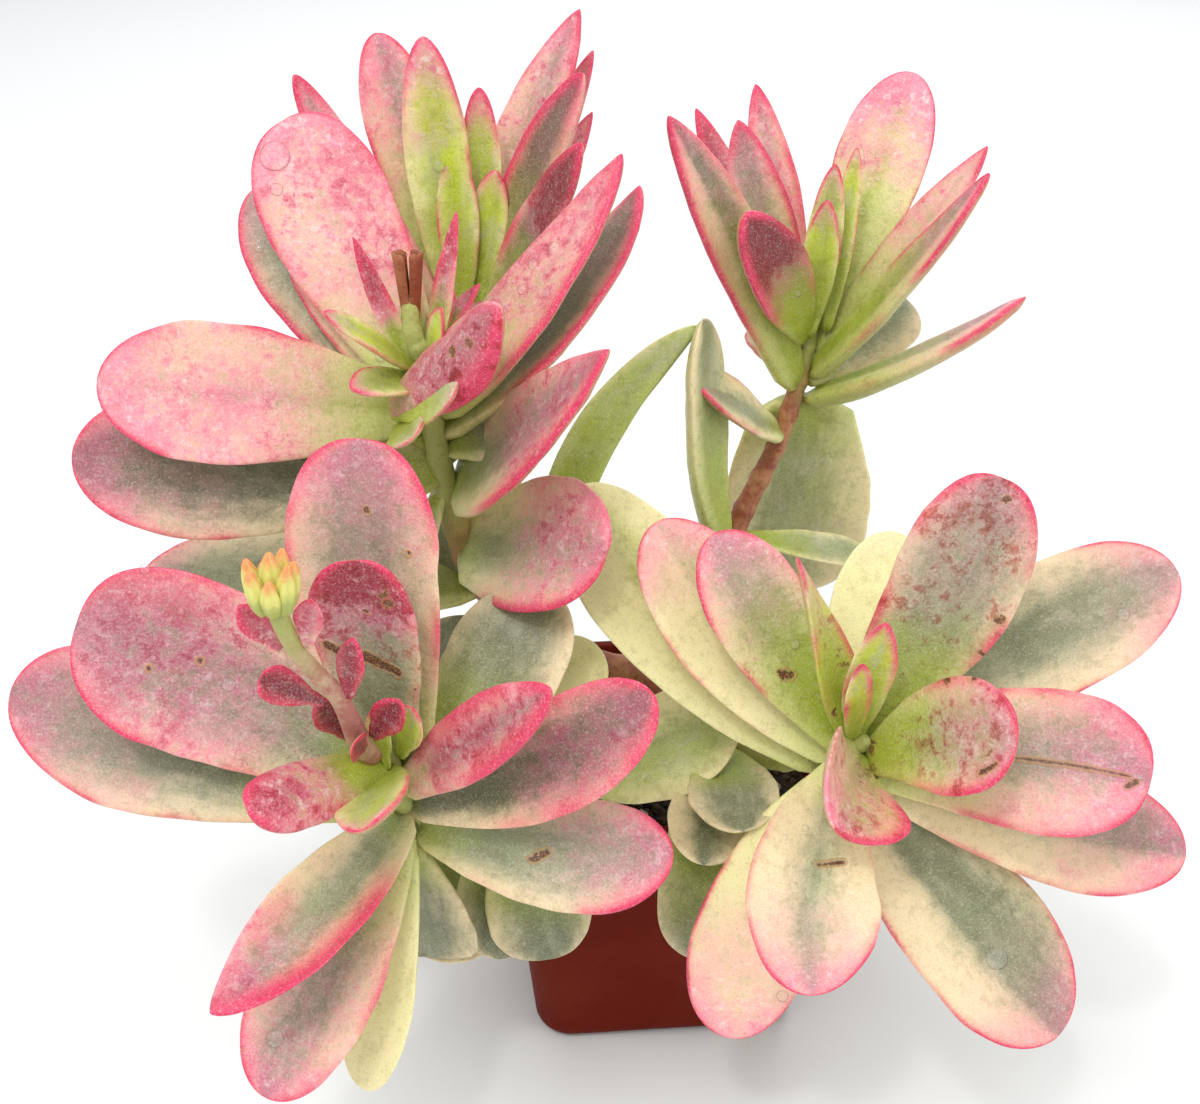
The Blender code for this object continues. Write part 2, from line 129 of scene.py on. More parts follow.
# Shoots: tip, growing direction, the way its upper faces look, and its leaves
SHOOTS = {
    "upper_left": ((-44, -18, 153), (-0.12, -0.14, 0.98), (-0.3, -0.6, 0.75), [
        Leaf(13, 193, 10, 55, 23, "rosy", roll=-28, foot=1.1, light=0.5, blush=0.95, left=1.0,
             right=1.0),
        Leaf(26, 191, 7, 63, 25, "dusk", roll=-27, start=0.6),
        Leaf(10, 142, 54, 51, 22, "rosy", "paddle", blush=1.15),
        Leaf(20, 144, 42, 55, 20, sway=1, left=0.12, right=0.7, light=0.3, rim=1.6, lean=-1,
             foot=0.9, blush=0.15),
        Leaf(13, 21, 49, 53, 16, "rosy", "lance", sway=3, roll=-15, start=0.15, blush=1.3, rim=1.5,
             lean=1, foot=1.4, light=0.4),
        Leaf(18, 36, 39, 56, 15, "dusk", "acute", sway=6, roll=-20, light=0, rim=2, lean=1,
             blush=0.6),
        Leaf(29, 322, 44, 50, 20, "mauve", "lance", sway=2, roll=-10, blush=1.2, rim=1.8, lean=1,
             left=0.4, right=0.5, foot=0.6, light=0.35),
        Leaf(42, 321, 17, 36, 24, "dusk", "broad", roll=10, light=0.6, rim=1.8, start=0.3,
             blush=1.1, lean=0.6, foot=0.4, left=0.6, right=0.4),
    ]),
    "upper_left_side": ((-50, -27, 145), (-0.2, -0.7, 0.68), (-0.2, -0.7, 0.68), [
        Leaf(3, 334, 44, 32, 13, "hot", "tongue", cup=-0.5, worn=1.0, plump=1.5, light=0.4,
             left=0.4, right=0.3, start=-0.1, rim=2.4, lean=1),
    ]),
    "rear_left": ((-40, 33, 142), (0, 0.1, 0.99), (0, -0.5, 0.86), [
        Leaf(11, 198, 62, 63, 10, "hot", "tongue", sway=-1, roll=-5, blush=0.9),
        Leaf(4, 137, 66, 55, 14, "rosy", light=0.4, left=0.8, right=0.4, start=0.45, foot=1.3),
        Leaf(2, 208, 83, 52, 12, "lime", "oval", start=0.72, blush=0.9, light=1.0, left=0.4,
             right=0.2, rim=0.8),
        Leaf(0, 48, 82, 39, 8, "lime", "oval", light=0.85, start=0.8, blush=1.5, rim=1.0),
        Leaf(5, 34, 64, 62, 15, "hot", "acute", sway=-2, roll=-20, start=0.1, blush=1.2, rim=1.0,
             foot=1.3),
        Leaf(10, 335, 65, 61, 13, "dusk", "tongue", sway=-2, roll=-10, light=0, foot=1.3, rim=2.4,
             lean=-1, right=0.4, blush=0.6),
    ]),
    "rear_right": ((29, 40, 135), (0.1, 0.05, 0.99), (0, -0.5, 0.86), [
        Leaf(14, 207, 60, 67, 12, "dusk", "acute", sway=1, roll=-20, light=0.2, foot=1.5, left=0.8,
             plump=1.6, rim=1.3, lean=-0.6, blush=0.5),
        Leaf(9, 171, 71, 50, 13, "dusk", "acute", roll=-10, foot=1.3, light=0.4, rim=1.6,
             right=0.5, lean=0.4),
        Leaf(4, 228, 51, 39, 13, "dusk", "oval", roll=-45, blush=2.2, start=0.4, light=0, left=0.1,
             right=0.1, rim=2.2, foot=1.5, plump=1.8, cup=0.5),
        Leaf(3, 41, 62, 53, 18, "rosy", start=0.55, light=0.9, left=0.9, right=0.9, foot=1.4,
             rim=0.4),
        Leaf(7, 356, 53, 52, 11, "rosy", "acute", sway=1, roll=-20, foot=1.5, start=0.4),
        Leaf(11, 326, 53, 57, 10, "dusk", "acute", sway=3, roll=-20, light=0.4, foot=1.6,
             plump=1.5, right=0.8, start=0.55, cup=0.3),
        Leaf(18, 352, 29, 49, 9, "dusk", "acute", sway=6, roll=-35, light=0.4, right=0.9, foot=1.4,
             plump=2.2, start=0.4, rim=0.6),
        Leaf(14, 37, 21, 30, 20, blush=0, rim=0),
    ]),
    "rear_stem": ((23, 38, 107), (0.39, 0.17, 0.91), (0, -0.5, 0.86), [
        Leaf(-8, 84, -71, 61, 34, "sage", "broad", blush=0, rim=0, light=0.65, left=0.4,
             right=0.4),
        Leaf(24, 233, 76, 57, 14, "shade", "paddle", sway=-3, roll=40, light=0.55, left=0.4,
             foot=1.5, plump=1.4),
    ]),
    "left_branch": ((-36, -10, 102), (-0.5, -0.2, 0.8), (0, -0.4, 0.9), [
        Leaf(20, 46, 50, 69, 10, "shade", "tongue", sway=-9, light=0.75, left=0.2, right=0,
             foot=1.5, plump=2.2),
        Leaf(0, 178, -2, 65, 24, start=0.8),
    ]),
    "front_left": ((-49, -52, 96), (-0.15, -0.1, 0.98), (-0.2, -0.75, 0.62), [
        Leaf(6, 170, 24, 58, 29, "mauve", "paddle", sway=2, worn=0.5, light=0.25, left=0.25,
             right=0.3, foot=0.6, blush=1.2,
             scars=[(0.1, 0.62, 0.1, 0.62, 0.5), (-0.2, 0.75, -0.2, 0.75, 0.4)]),
        Leaf(12, 169, 10, 71, 27, "dusk", light=0.25, start=0.6, foot=0.8),
        Leaf(9, 103, 72, 59, 26, "mauve", "paddle", sway=-2, start=0.45, blush=0.65, rim=1.6,
             scars=[(0.05, 0.8, 0.05, 0.8, 0.6), (0.6, 0.68, 0.6, 0.68, 0.4)]),
        Leaf(2, 140, 84, 36, 18, "dusk", "paddle", sway=-1, light=0.3, blush=2.2, start=0.6,
             rim=1.8, foot=0.4, worn=1.0, left=0.1, right=0.1,
             scars=[(-0.75, 0.57, -0.2, 0.48, 0.6), (-0.1, 0.5, 0.5, 0.42, 0.8)]),
        Leaf(8, 331, 43, 42, 12, "hot", "tongue", plump=1.4, light=0.25, rim=2.2),
        Leaf(14, 350, 34, 51, 18, "mauve", sway=3, light=0.05, start=0.35, foot=0.3, rim=2.2),
        Leaf(20, 347, 5, 46, 19, sway=2, scars=[(0.15, 0.44, 0.0, 0.5, 0.6)], blush=0.75,
             start=0.5, rim=1.6),
        Leaf(16, 46, 40, 46, 21, "shade", light=0.22, left=0.1, right=0.35, foot=1.3),
        Leaf(16, 230, -16, 46, 15, "hot", "acute", sway=-2, start=0.55, foot=0.4, cup=0.7, rim=4.0,
             lean=-1, light=0.4, left=0.5, right=0.4),
        Leaf(20, 232, -40, 50, 20, "mauve", light=0.4, start=0.25, blush=0.65, lean=0.3, left=0.5,
             right=0.4),
        Leaf(24, 249, -56, 43, 12, "blond", rim=0),
        Leaf(2, 236, 16, 33, 11, "hot", "broad", start=0.3, plump=1.6, foot=1.4, cup=-0.3,
             blush=1.6, light=0.8, left=0.3, right=0.3),
    ]),
    "front_right": ((31, -47, 93), (0.35, -0.5, 0.79), (0.1, -0.75, 0.65), [
        Leaf(6, 158, 54, 46, 17.5, left=0.5, right=0.2, foot=1.5, worn=0.4, light=0.55, blush=0.5,
             start=0.5, scars=[(-0.2, 0.35, -0.35, 0.38, 0.8)]),
        Leaf(10, 154, 47, 53, 20, "cream", sway=-2, left=1.2, blush=0.4, light=0.7, rim=0.6),
        Leaf(15, 150, 40, 67, 22, "blond", sway=-3, left=1.1, right=0.7, rim=0, blush=0),
        Leaf(5, 18, 67, 54, 21, "olive", "paddle", sway=2, blush=0.35, light=0.4, worn=1.0,
             rim=1.7),
        Leaf(8, 18, 23, 67, 23, sway=-2, left=0.35, right=0.4, rim=0.6),
        Leaf(11, 66, 45, 43, 18, "blond", rim=0),
        Leaf(1, 315, 27, 31, 19, "olive", "paddle", sway=-2, light=0.7, rim=1.8, worn=1.6,
             scars=[(0.5, 0.9, 0.62, 0.82, 0.6)]),
        Leaf(6, 341, 7, 49, 24, "rosy", "paddle", sway=-2, left=0.35, light=0.35, right=0.7,
             start=0.45, blush=0.85, rim=1.4,
             scars=[(0.0, 0.3, 0.0, 0.93, 0.18), (0.1, 0.95, 0.2, 0.93, 0.6)]),
        Leaf(9, 354, -15, 63, 21, "cream", sway=1, left=0.1, right=0.85, blush=0.65, start=0.6,
             light=0.3),
        Leaf(13, 327, -40, 61, 25, light=0.25, left=0.1, right=0.78),
        Leaf(7, 256, -28, 43, 22, "cream", sway=3, left=0.72, right=0.72, blush=0.5, start=0.6,
             scars=[(-0.45, 0.42, -0.05, 0.46, 0.3)]),
        Leaf(13, 232, -58, 52, 21, "blond", sway=4, blush=0.5, start=0.45, rim=0.6),
        Leaf(1, 178, 69, 39, 9, "olive", "lance", twist=60, worn=1.0, light=0.9, left=0, right=0,
             blush=0.3, rim=1.4),
    ]),
    "lower_left": ((-34, -32, 68), (-0.58, -0.8, 0.15), (0, -0.6, 0.8), [
        Leaf(18, 346, 27, 40, 20, "shade", sway=3, light=0.7, left=0.45, right=0.3, foot=1.0),
        Leaf(1, 275, -63, 30, 16, "shade", foot=1.4),
    ]),
    "lower_right": ((8, -20, 73), (1, 0, 0), (0, -0.6, 0.8), [
        Leaf(0, 264, -52, 41, 20, "shade", arch=8, light=0.2, foot=1.6, left=0.1, right=0.1),
    ]),
}

# Young and hidden leaves, too small or too close together for solids of their own
YOUNG = {
    "upper_left": [
        Leaf(3, 232, 34, 25, 6, "lime", "tongue"),
        Leaf(6, 240, 12, 20, 8, "lime", "acute", roll=-20, light=0.75, blush=1.2, start=0.8),
        Leaf(2, 182, 64, 22, 4, "crimson", "lance", start=0.3),
        Leaf(2, 28, 71, 24, 4.4, "crimson", "lance", start=0.35, blush=1.6),
        Leaf(2, 54, 38, 12, 4, "lime", "lance", blush=1.2, start=0.6),
        Leaf(2, 45, 30, 16, 4, "crimson", "lance", start=0.5),
        Leaf(3, 300, 50, 15, 6, "lime", "acute"),
        Leaf(4, 120, 45, 22, 8, "lime", "acute"),
        Leaf(14, 139, 42, 41, 16, "cream", blush=0.6, start=0.4),
        Leaf(20, 95, 14, 38, 18),
        Leaf(24, 80, 18, 44, 20, "dusk"),
        Leaf(32, 215, -45, 15, 8, "shade", "oval", light=0.3),
        # These two dark leaves behind the stem are painted shadow: they fill gaps that show only
        # shade
        Leaf(34, 100, -70, 22, 15, "shade", light=0.2),
        Leaf(22, 350, 20, 22, 12, "shade", light=0.3),
    ],
    "upper_left_side": [
        Leaf(3, 329, 30, 18, 10, "lime", "oval", light=0.7, left=0, right=0, blush=0.1, rim=0.3,
             foot=1.6),
        Leaf(5, 296, 8, 13, 9, "lime", "oval", light=0.7, left=0, right=0, blush=0, rim=0.3,
             foot=1.6),
    ],
    "rear_left": [
        Leaf(8, 166, 53, 53, 9, "hot", "acute"),
        Leaf(1, 256, 84, 30, 8, "lime", "oval"),
        Leaf(1, 336, 74, 27, 8, "lime", "oval"),
        Leaf(5, 40, 55, 57, 8, "hot", "acute", blush=1.0),
        Leaf(9, 42, 49, 51, 8, "rosy", "acute"),
        Leaf(12, 323, 58, 55, 12, "dusk", "tongue", blush=2.0, rim=2.0, foot=1.2),
        Leaf(10, 100, 46, 28, 14, "rosy"),
        Leaf(16, 75, 34, 26, 14),
    ],
    "rear_right": [
        Leaf(10, 157, 62, 55, 9, "hot", "acute"),
        Leaf(4, 125, 65, 50, 10, "hot", "acute", blush=1.1),
        Leaf(2, 313, 85, 33, 7, "lime", "tongue", light=0.8),
        Leaf(1, 0, 80, 35, 5, "lime", "tongue", rim=0.3),
        Leaf(1, 268, 70, 29, 7, "lime", "tongue"),
        Leaf(14, 95, 30, 20, 13),
        Leaf(14, 115, 15, 19, 12),
    ],
    "rear_stem": [
        Leaf(-2, 219, 37, 33, 13, "sage", "tongue", light=0.5, blush=0.4, right=0.6),
        Leaf(22, 17, -19, 35, 8, "lime", light=0.6, blush=0, rim=0),
    ],
    "front_left": [
        Leaf(18, 43, 21, 47, 18, "blond", blush=0, rim=0),
        Leaf(4, 268, 15, 27, 12, "lime", "oval", light=0.8),
        Leaf(0, 323, 58, 12, 7, "lime", "oval"),
        Leaf(0, 242, 73, 9, 4, "lime", "oval"),
        Leaf(26, 102, -79, 30, 24, "shade"),
        Leaf(17, 75, 30, 40, 20, "shade", foot=1.0, left=0.1, right=0.1),
    ],
    "front_right": [
        Leaf(1, 269, 79, 28, 8, "lime", "tongue", rim=1.2),
        Leaf(0, 245, 65, 24, 5, "lime", "tongue", rim=1.2),
        Leaf(3, 252, 0, 23, 21, "hot", "oval", roll=-24, light=0.8, rim=2.4, worn=0.8, lean=-1,
             left=0.2, right=1.0, blush=0.8, start=0.1, cup=0.6),
    ],
    "lower_right": [
        Leaf(0, 275, 5, 30, 16, "shade", foot=1.2),
        Leaf(0, 262, -13, 29, 15, "shade", left=0.5, right=0.5, foot=1.2),
    ],
    "lower_left": [
        Leaf(18, 224, -36, 43, 25, "shade", foot=1.6, left=0.2, right=0.3),
        Leaf(8, 287, -56, 33, 19, "shade", arch=6, foot=1.5, left=0.1),
    ],
}

# Bracts on the flower stalk: (tip, leaves), each pair sitting at its own height
BRACTS = [
    ((-52, -58, 103), [
        Leaf(0, 190, 50, 9, 6, "crimson", "tongue", start=-0.5, light=0.1, foot=0),
        Leaf(0, 340, 45, 11, 6, "crimson", "acute", start=-0.5, light=0.1, foot=0),
        Leaf(0, 270, 20, 8, 5, "crimson", "acute", start=-0.5, light=0.1, foot=0),
    ]),
    ((-55, -64, 114), [
        Leaf(0, 184, 20, 11, 6, "crimson", "paddle", start=-0.5, light=0, foot=0),
        Leaf(0, 350, 68, 12, 4.5, "crimson", "acute", start=-0.4, light=0.3, foot=0.3),
    ]),
    ((-59, -71, 128), [
        Leaf(0, 172, 42, 9, 4.5, "crimson", "acute", start=-0.2, blush=1.5, foot=0.4),
        Leaf(0, 352, 62, 9, 4.5, "crimson", "acute", start=-0.2, blush=1.5, foot=0.4),
    ]),
]

# Stems: (x, y, z, radius) along each one, in millimetres
BRANCHES = {
    "trunk": [(1, 2, 34, 4.0), (-1, 2, 52, 4.2), (-5, 1, 62, 4.2), (-7, 0, 71, 4.4),
              (-7, 0, 78, 3.2)],
    "upper_left": [(-7, 0, 74, 3.2), (-22, -4, 83, 3.0), (-36, -10, 102, 2.6),
                   (-41, -14, 124, 2.2), (-44, -18, 153, 1.6)],
    "rear_left": [(-33, -8, 97, 2.4), (-36, 8, 108, 2.4), (-39, 24, 121, 1.8), (-40, 33, 142, 1.2)],
    "front_left": [(-7, 0, 69, 3.2), (-22, -16, 66, 2.7), (-38, -38, 70, 2.4), (-47, -50, 82, 2.0),
                   (-49, -52, 96, 1.6)],
    "front_right": [(-6, 0, 73, 3.2), (5, -15, 74, 2.5), (18, -30, 76, 1.9), (31, -47, 93, 1.5)],
    "cut_stalk": [(-44, -18, 150, 1.4), (-45, -17, 155, 1.5), (-45, -16, 160, 1.6)],
}
REAR_STEM = [(7, 9, 36, 3.2), (9, 14, 52, 3.2), (11, 26, 70, 2.9), (14, 34, 86, 2.4),
             (23, 38, 107, 1.9), (27, 39.5, 122, 1.8), (29, 40, 135, 1.2)]
FLOWER_STALK = [(-50, -54, 95, 1.6), (-52, -57, 99, 2.0), (-54, -62, 112, 1.5),
                (-58, -69, 125, 1.4), (-60, -72, 135, 1.5)]
FLOWER_HEAD = (-60, -72, 134)
CUT_STALK_TOP = (-45, -16, 156)
# How far apart the old leaf joints stand along a stem, and how far they swell, in mm
JOINT_SPACING = 7.5
JOINT_SWELL = 0.35

# Pot and soil, in millimetres
POT_TOP = 66.0
POT_BOTTOM = 53.0
POT_HEIGHT = 59.0
POT_WALL = 1.5
POT_FLOOR = 2.8
CORNER_RADIUS = 7.5
CORNER_STEPS = 14
FOOT_STEPS = 6
LIP_STEPS = 4
BASE_RADIUS = 4.0
RIM_HEIGHT = 7.0
RIM_STEP = 1.0
LIP_RADIUS = 0.5
NOTCH_WIDTH = 24.0
NOTCH_REACH = 9.0
NOTCH_HEIGHT = 1.7
DRAIN_RADIUS = 3.0
DRAIN_SPACING = 26.0
SOIL_TOP = 49.0
SOIL_MOUND = 2.5
# Gap between the soil and the pot, rings of points from the soil's edge to its middle, and how far
# from the wall the loose crumbs stop
SOIL_GAP = 0.4
SOIL_RINGS = 26
CRUMB_INSET = 3.4

# Large water drops: shoot, leaf number, across, along, radius in mm
BIG_DROPS = [
    ("upper_left", 3, -0.45, 0.9, 2.5), ("upper_left", 5, -0.3, 0.62, 1.3),
    ("upper_left", 5, -0.45, 0.55, 1.0), ("upper_left", 5, -0.2, 0.45, 0.9),
    ("upper_left", 8, 0.1, 0.4, 0.9), ("front_left", 1, 0.1, 0.5, 1.2),
    ("front_left", 1, 0.3, 0.4, 0.9), ("front_left", 10, 0.3, 0.8, 1.5),
    ("front_right", 10, 0.1, 0.7, 2.0), ("front_right", 9, -0.3, 0.75, 1.6),
    ("front_right", 8, -0.4, 0.5, 1.0), ("front_right", 4, -0.4, 0.5, 0.9),
    ("front_right", 5, 0.2, 0.8, 1.1), ("rear_left", 3, 0.1, 0.55, 1.2),
    ("rear_right", 4, 0.0, 0.45, 1.0), ("rear_right", 3, 0.2, 0.35, 0.9),
]

# How far from the shoot's middle a leaf starts, how far its foot runs back into the shoot, both in
# mm, and the share of its length that is kept, so that its round tip stays inside the plain solid
LEAF_FOOT = 3.2
FOOT_OVERLAP = 2.4
LEAF_SHORTENING = 0.985
# Rows of points along a leaf, points in each row, and where along the leaf the last row lies
STATIONS = 48
AROUND = 32
LAST_STATION = 0.9997
# A leaf narrower than this, in mm, is thinner and smoother too
FULL_WIDTH = 14
BRACT_THICKNESS = 2.2
# The noise patterns of the hidden leaves and of the bracts start at these numbers
YOUNG_SEED = 100
BRACT_SEED = 300

# Flower buds, in mm: the middle one's length and width, and those of the ring round it
BUD_RING = 7
MIDDLE_BUD = (8.6, 4.0)
RING_BUD = (7.4, 3.4)
BUD_OPENNESS = 0.2
# Torn stub of the old stalk, in mm: its height and how deep it sits in the stem
STUB_HEIGHT = 12.5
STUB_SUNK = 1.5

# Stage: lens in mm, what the camera looks at in plant millimetres, and each light's name, place
# and size in metres and power in watts
LENS = 49.45
TARGET = (-14, -10, 108)
ROOM_COLOUR = (0.94, 0.97, 1.0, 1.0)
ROOM_STRENGTH = 0.72
LIGHTS = [
    ("key", (-0.35, -0.45, 1.0), 0.8, 6.3),
    ("fill", (0.8, -0.4, 0.6), 0.8, 2.8),
    ("glint", (-0.25, -0.55, 0.95), 0.08, 1.4),
    ("back", (0.2, 0.9, 0.8), 0.8, 4.2),
]


# ---------------------------------------------------------------- mesh helpers

def to_world(points):
    """Plant millimetres to metres in the pot's frame."""
    c, s = cos(PLANT_TURN), sin(PLANT_TURN)
    turn = np.array([[c, -s, 0], [s, c, 0], [0, 0, 1]])
    return (np.asarray(points) @ turn.T + PLANT_SHIFT) * MM


def plain_mesh(name, verts, faces, marks=()):
    """A mesh from plant millimetres, with one vector attribute for each mark."""
    mesh = bpy.data.meshes.new(name)
    mesh.from_pydata([tuple(p) for p in to_world([tuple(v) for v in verts])], [], faces)
    for key, values in dict(marks).items():
        layer = mesh.attributes.new(key, "FLOAT_VECTOR", "POINT")
        layer.data.foreach_set("vector", np.array(values, dtype=np.float32).ravel())
    return mesh


def joined(bodies):
    """Several bodies as one: each is vertices, faces and a dict of values for each vertex."""
    verts, faces, marks = [], [], {}
    for body_verts, body_faces, body_marks in bodies:
        base = len(verts)
        verts += body_verts
        faces += [tuple(base + i for i in face) for face in body_faces]
        for key, values in body_marks.items():
            marks.setdefault(key, []).extend(values)
    return verts, faces, marks


def skin_faces(rows, around, first=0, flip=False):
    """Four-sided faces between rows of points that go round a body."""
    faces = []
    for row in range(rows - 1):
        for k in range(around):
            a = first + row * around + k
            b = first + row * around + (k + 1) % around
            faces.append((a, a + around, b + around, b) if flip else (a, b, b + around, a + around))
    return faces


def evaluated_mesh(obj):
    """The plain mesh that an object's modifiers make."""
    depsgraph = bpy.context.evaluated_depsgraph_get()
    return bpy.data.meshes.new_from_object(obj.evaluated_get(depsgraph))


def mesh_from(name, bm):
    """Turns a BMesh into a mesh and frees it."""
    mesh = bpy.data.meshes.new(name)
    bm.to_mesh(mesh)
    bm.free()
    return mesh


def new_object(name, mesh, *materials):
    obj = bpy.data.objects.new(name, mesh)
    bpy.context.scene.collection.objects.link(obj)
    for material in materials:
        mesh.materials.append(material)
    return obj


def as_piece(obj, slot, *nodes):
    """Puts a finished piece on the one body and hides the CAD nodes it stands for."""
    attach(obj, "root")
    if nodes:
        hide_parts(*nodes)


def bmesh_object(name, bm, material, smooth=True):
    bmesh.ops.recalc_face_normals(bm, faces=bm.faces)
    mesh = mesh_from(name, bm)
    if smooth:
        mesh.shade_smooth()
    return new_object(name, mesh, material)


# ---------------------------------------------------------------- leaves

def outline_share(outline, t):
    """Half width at t along the leaf, as a share of the greatest half width."""
    foot, widest, blunt = OUTLINES[outline]
    if t <= widest:
        return foot + (1 - foot) * sin(pi / 2 * max(t, 0) / widest)
    s = (t - widest) / (1 - widest)
    return max(1 - s * s, 0) ** blunt


def leaf_axes(chord, facing, roll):
    face = (facing - facing.dot(chord) * chord).normalized()
    face = Matrix.Rotation(radians(roll), 3, chord) @ face
    return chord, face, chord.cross(face)


def spine_point(leaf, start, length, axes, t):
    """The point, face normal and side direction at t along the leaf's bowed spine."""
    chord, face, side = axes
    bow = 4 * t * (1 - t)
    slope = 4 * (1 - 2 * t)
    point = start + chord * length * t + face * leaf.arch * bow + side * leaf.sway * bow
    tangent = (chord * length + face * leaf.arch * slope + side * leaf.sway * slope).normalized()
    turned = Matrix.Rotation(radians(leaf.twist) * t, 3, tangent) @ face
    normal = (turned - turned.dot(tangent) * tangent).normalized()
    return point, normal, tangent.cross(normal)


def look_value(leaf, field):
    value = getattr(leaf, field)
    return getattr(LOOKS[leaf.style], field) if value is None else value


def scar_frame(scar, leaf, length, across, along):
    """A place on the face, measured along and across a scar line, in mm."""
    u0, v0, u1, v1, _ = scar
    reach = leaf.width / 2
    x0, y0, x1, y1 = u0 * reach, v0 * length, u1 * reach, v1 * length
    run = sqrt((x1 - x0) ** 2 + (y1 - y0) ** 2)
    dx, dy = ((x1 - x0) / run, (y1 - y0) / run) if run else (1, 0)
    x = across * reach - (x0 + x1) / 2
    y = along * length - (y0 + y1) / 2
    return x * dx + y * dy, x * dy - y * dx, 0


def leaf_shell(leaf, shoot, seed, thickness):
    """Vertices, faces and attributes of one closed leaf, in plant millimetres."""
    tip, axis, facing = (Vector(v) for v in shoot)
    axis.normalize()
    facing.normalize()
    heading = radians(leaf.heading)
    rise = radians(leaf.rise)
    reach = Vector((cos(rise) * cos(heading), cos(rise) * sin(heading), sin(rise)))
    node = tip - axis * leaf.down
    start = node + (reach - reach.dot(axis) * axis).normalized() * LEAF_FOOT
    span = node + reach * leaf.length - start
    axes = leaf_axes(span.normalized(), facing, leaf.roll)
    length = span.length * LEAF_SHORTENING
    first = -FOOT_OVERLAP / length
    small = min(1.0, leaf.width / FULL_WIDTH)
    verts, place, size = [], [], []
    for step in range(STATIONS):
        t = first + (1 - first) * sin(pi / 2 * (step / (STATIONS - 1)) ** 0.9)
        t = min(t, LAST_STATION)
        point, normal, side = spine_point(leaf, start, length, axes, t)
        share = outline_share(leaf.outline, t)
        slow = noise.noise(Vector((t * 3.1, seed * 7.3, 0.5)))
        quick = noise.noise(Vector((t * 9.0, seed * 3.7, 2.5)))
        bend = noise.noise(Vector((t * 2.3, 4.1, seed * 5.7)))
        foot_round = min(1, 0.55 + (t - first) * length / 4)
        half = leaf.width / 2 * share * foot_round
        left = half * (1 + 0.05 * slow + 0.03 * quick)
        right = half * (1 - 0.05 * slow + 0.03 * noise.noise(Vector((t * 8.0, seed, 6.5))))
        blunt = max(1 - max(t, 0) ** 16, 0.01) ** 0.5
        thick = thickness / 2 * small * leaf.plump * (1.3 - 0.6 * max(t, 0)) * blunt
        thick = min(thick * (0.6 + 0.4 * foot_round), half * 0.75)
        for k in range(AROUND):
            angle = 2 * pi * k / AROUND
            across = np.sign(cos(angle)) * abs(cos(angle)) ** 0.75
            up = np.sign(sin(angle)) * abs(sin(angle)) ** 0.85
            edge = right if across > 0 else left
            lift = leaf.cup * half * share * across * across
            wave = 0.6 * small * bend * across * abs(across)
            body = 0.85 if up > 0 else 1.2
            groove = 0.25 * small * max(0, 1 - t) * max(0, 1 - (across / 0.4) ** 2) * (up > 0)
            spot = point + side * across * edge
            spot = spot + normal * (lift + wave - groove + up * thick * body)
            lump = noise.noise(spot * 0.13 + Vector((seed, 0, 0)))
            dent = noise.noise(spot * 0.34 + Vector((0, seed, 0)))
            spot = spot + normal * (0.35 * lump + 0.12 * dent) * small * blunt
            verts.append(spot)
            place.append((across, max(t, 0), 1 if up >= 0 else 0))
            size.append((half, length, seed))
    last = (STATIONS - 1) * AROUND
    foot_pole = sum(verts[:AROUND], Vector()) / AROUND
    tip_pole = sum(verts[last:last + AROUND], Vector()) / AROUND
    verts += [foot_pole, tip_pole]
    place += [(0, 0, 1), (0, 1, 1)]
    size += [size[0], size[-1]]
    faces = skin_faces(STATIONS, AROUND, flip=True)
    for k in range(AROUND):
        j = (k + 1) % AROUND
        faces.append((len(verts) - 2, k, j))
        faces.append((len(verts) - 1, last + j, last + k))
    count = len(verts)
    light, blush, begin, left, right, rim, worn, foot, lean = (
        look_value(leaf, field) for field in Look._fields)
    marks = {
        "leaf_place": place,
        "leaf_size": size,
        "leaf_tone": [(light, blush, begin)] * count,
        "leaf_margin": [(left, right, rim)] * count,
        "leaf_wear": [(worn, foot, lean)] * count,
    }
    for name, scar in zip(("first", "second"), (*leaf.scars, None, None)):
        if scar:
            run = sqrt(((scar[2] - scar[0]) * leaf.width / 2) ** 2
                       + ((scar[3] - scar[1]) * length) ** 2)
            marks[f"{name}_scar"] = [scar_frame(scar, leaf, length, u, v) for u, v, _ in place]
            marks[f"{name}_scar_size"] = [(run / 2, scar[4], 0)] * count
        else:
            marks[f"{name}_scar"] = [(0, 0, 0)] * count
            marks[f"{name}_scar_size"] = [(0, 0, 0)] * count
    return verts, faces, marks


def smooth_mesh(name, bodies):
    """One smooth mesh of several bodies, such as leaf shells."""
    mesh = plain_mesh(name, *joined(bodies))
    mesh.shade_smooth()
    return mesh


# ---------------------------------------------------------------- stems

def smooth_path(points, spacing):
    """Points every `spacing` mm on a smooth path through the given ones: x, y, z, radius."""
    rows = np.array([points[0], *points, points[-1]], dtype=float)
    path = []
    for i in range(1, len(rows) - 2):
        a, b, c, d = rows[i - 1:i + 3]
        steps = max(2, round(np.linalg.norm(c[:3] - b[:3]) / spacing))
        for t in np.arange(steps) / steps:
            path.append(0.5 * (2 * b + (c - a) * t + (2 * a - 5 * b + 4 * c - d) * t ** 2
                               + (3 * b - a - 3 * c + d) * t ** 3))
    return np.array([*path, rows[-1]])


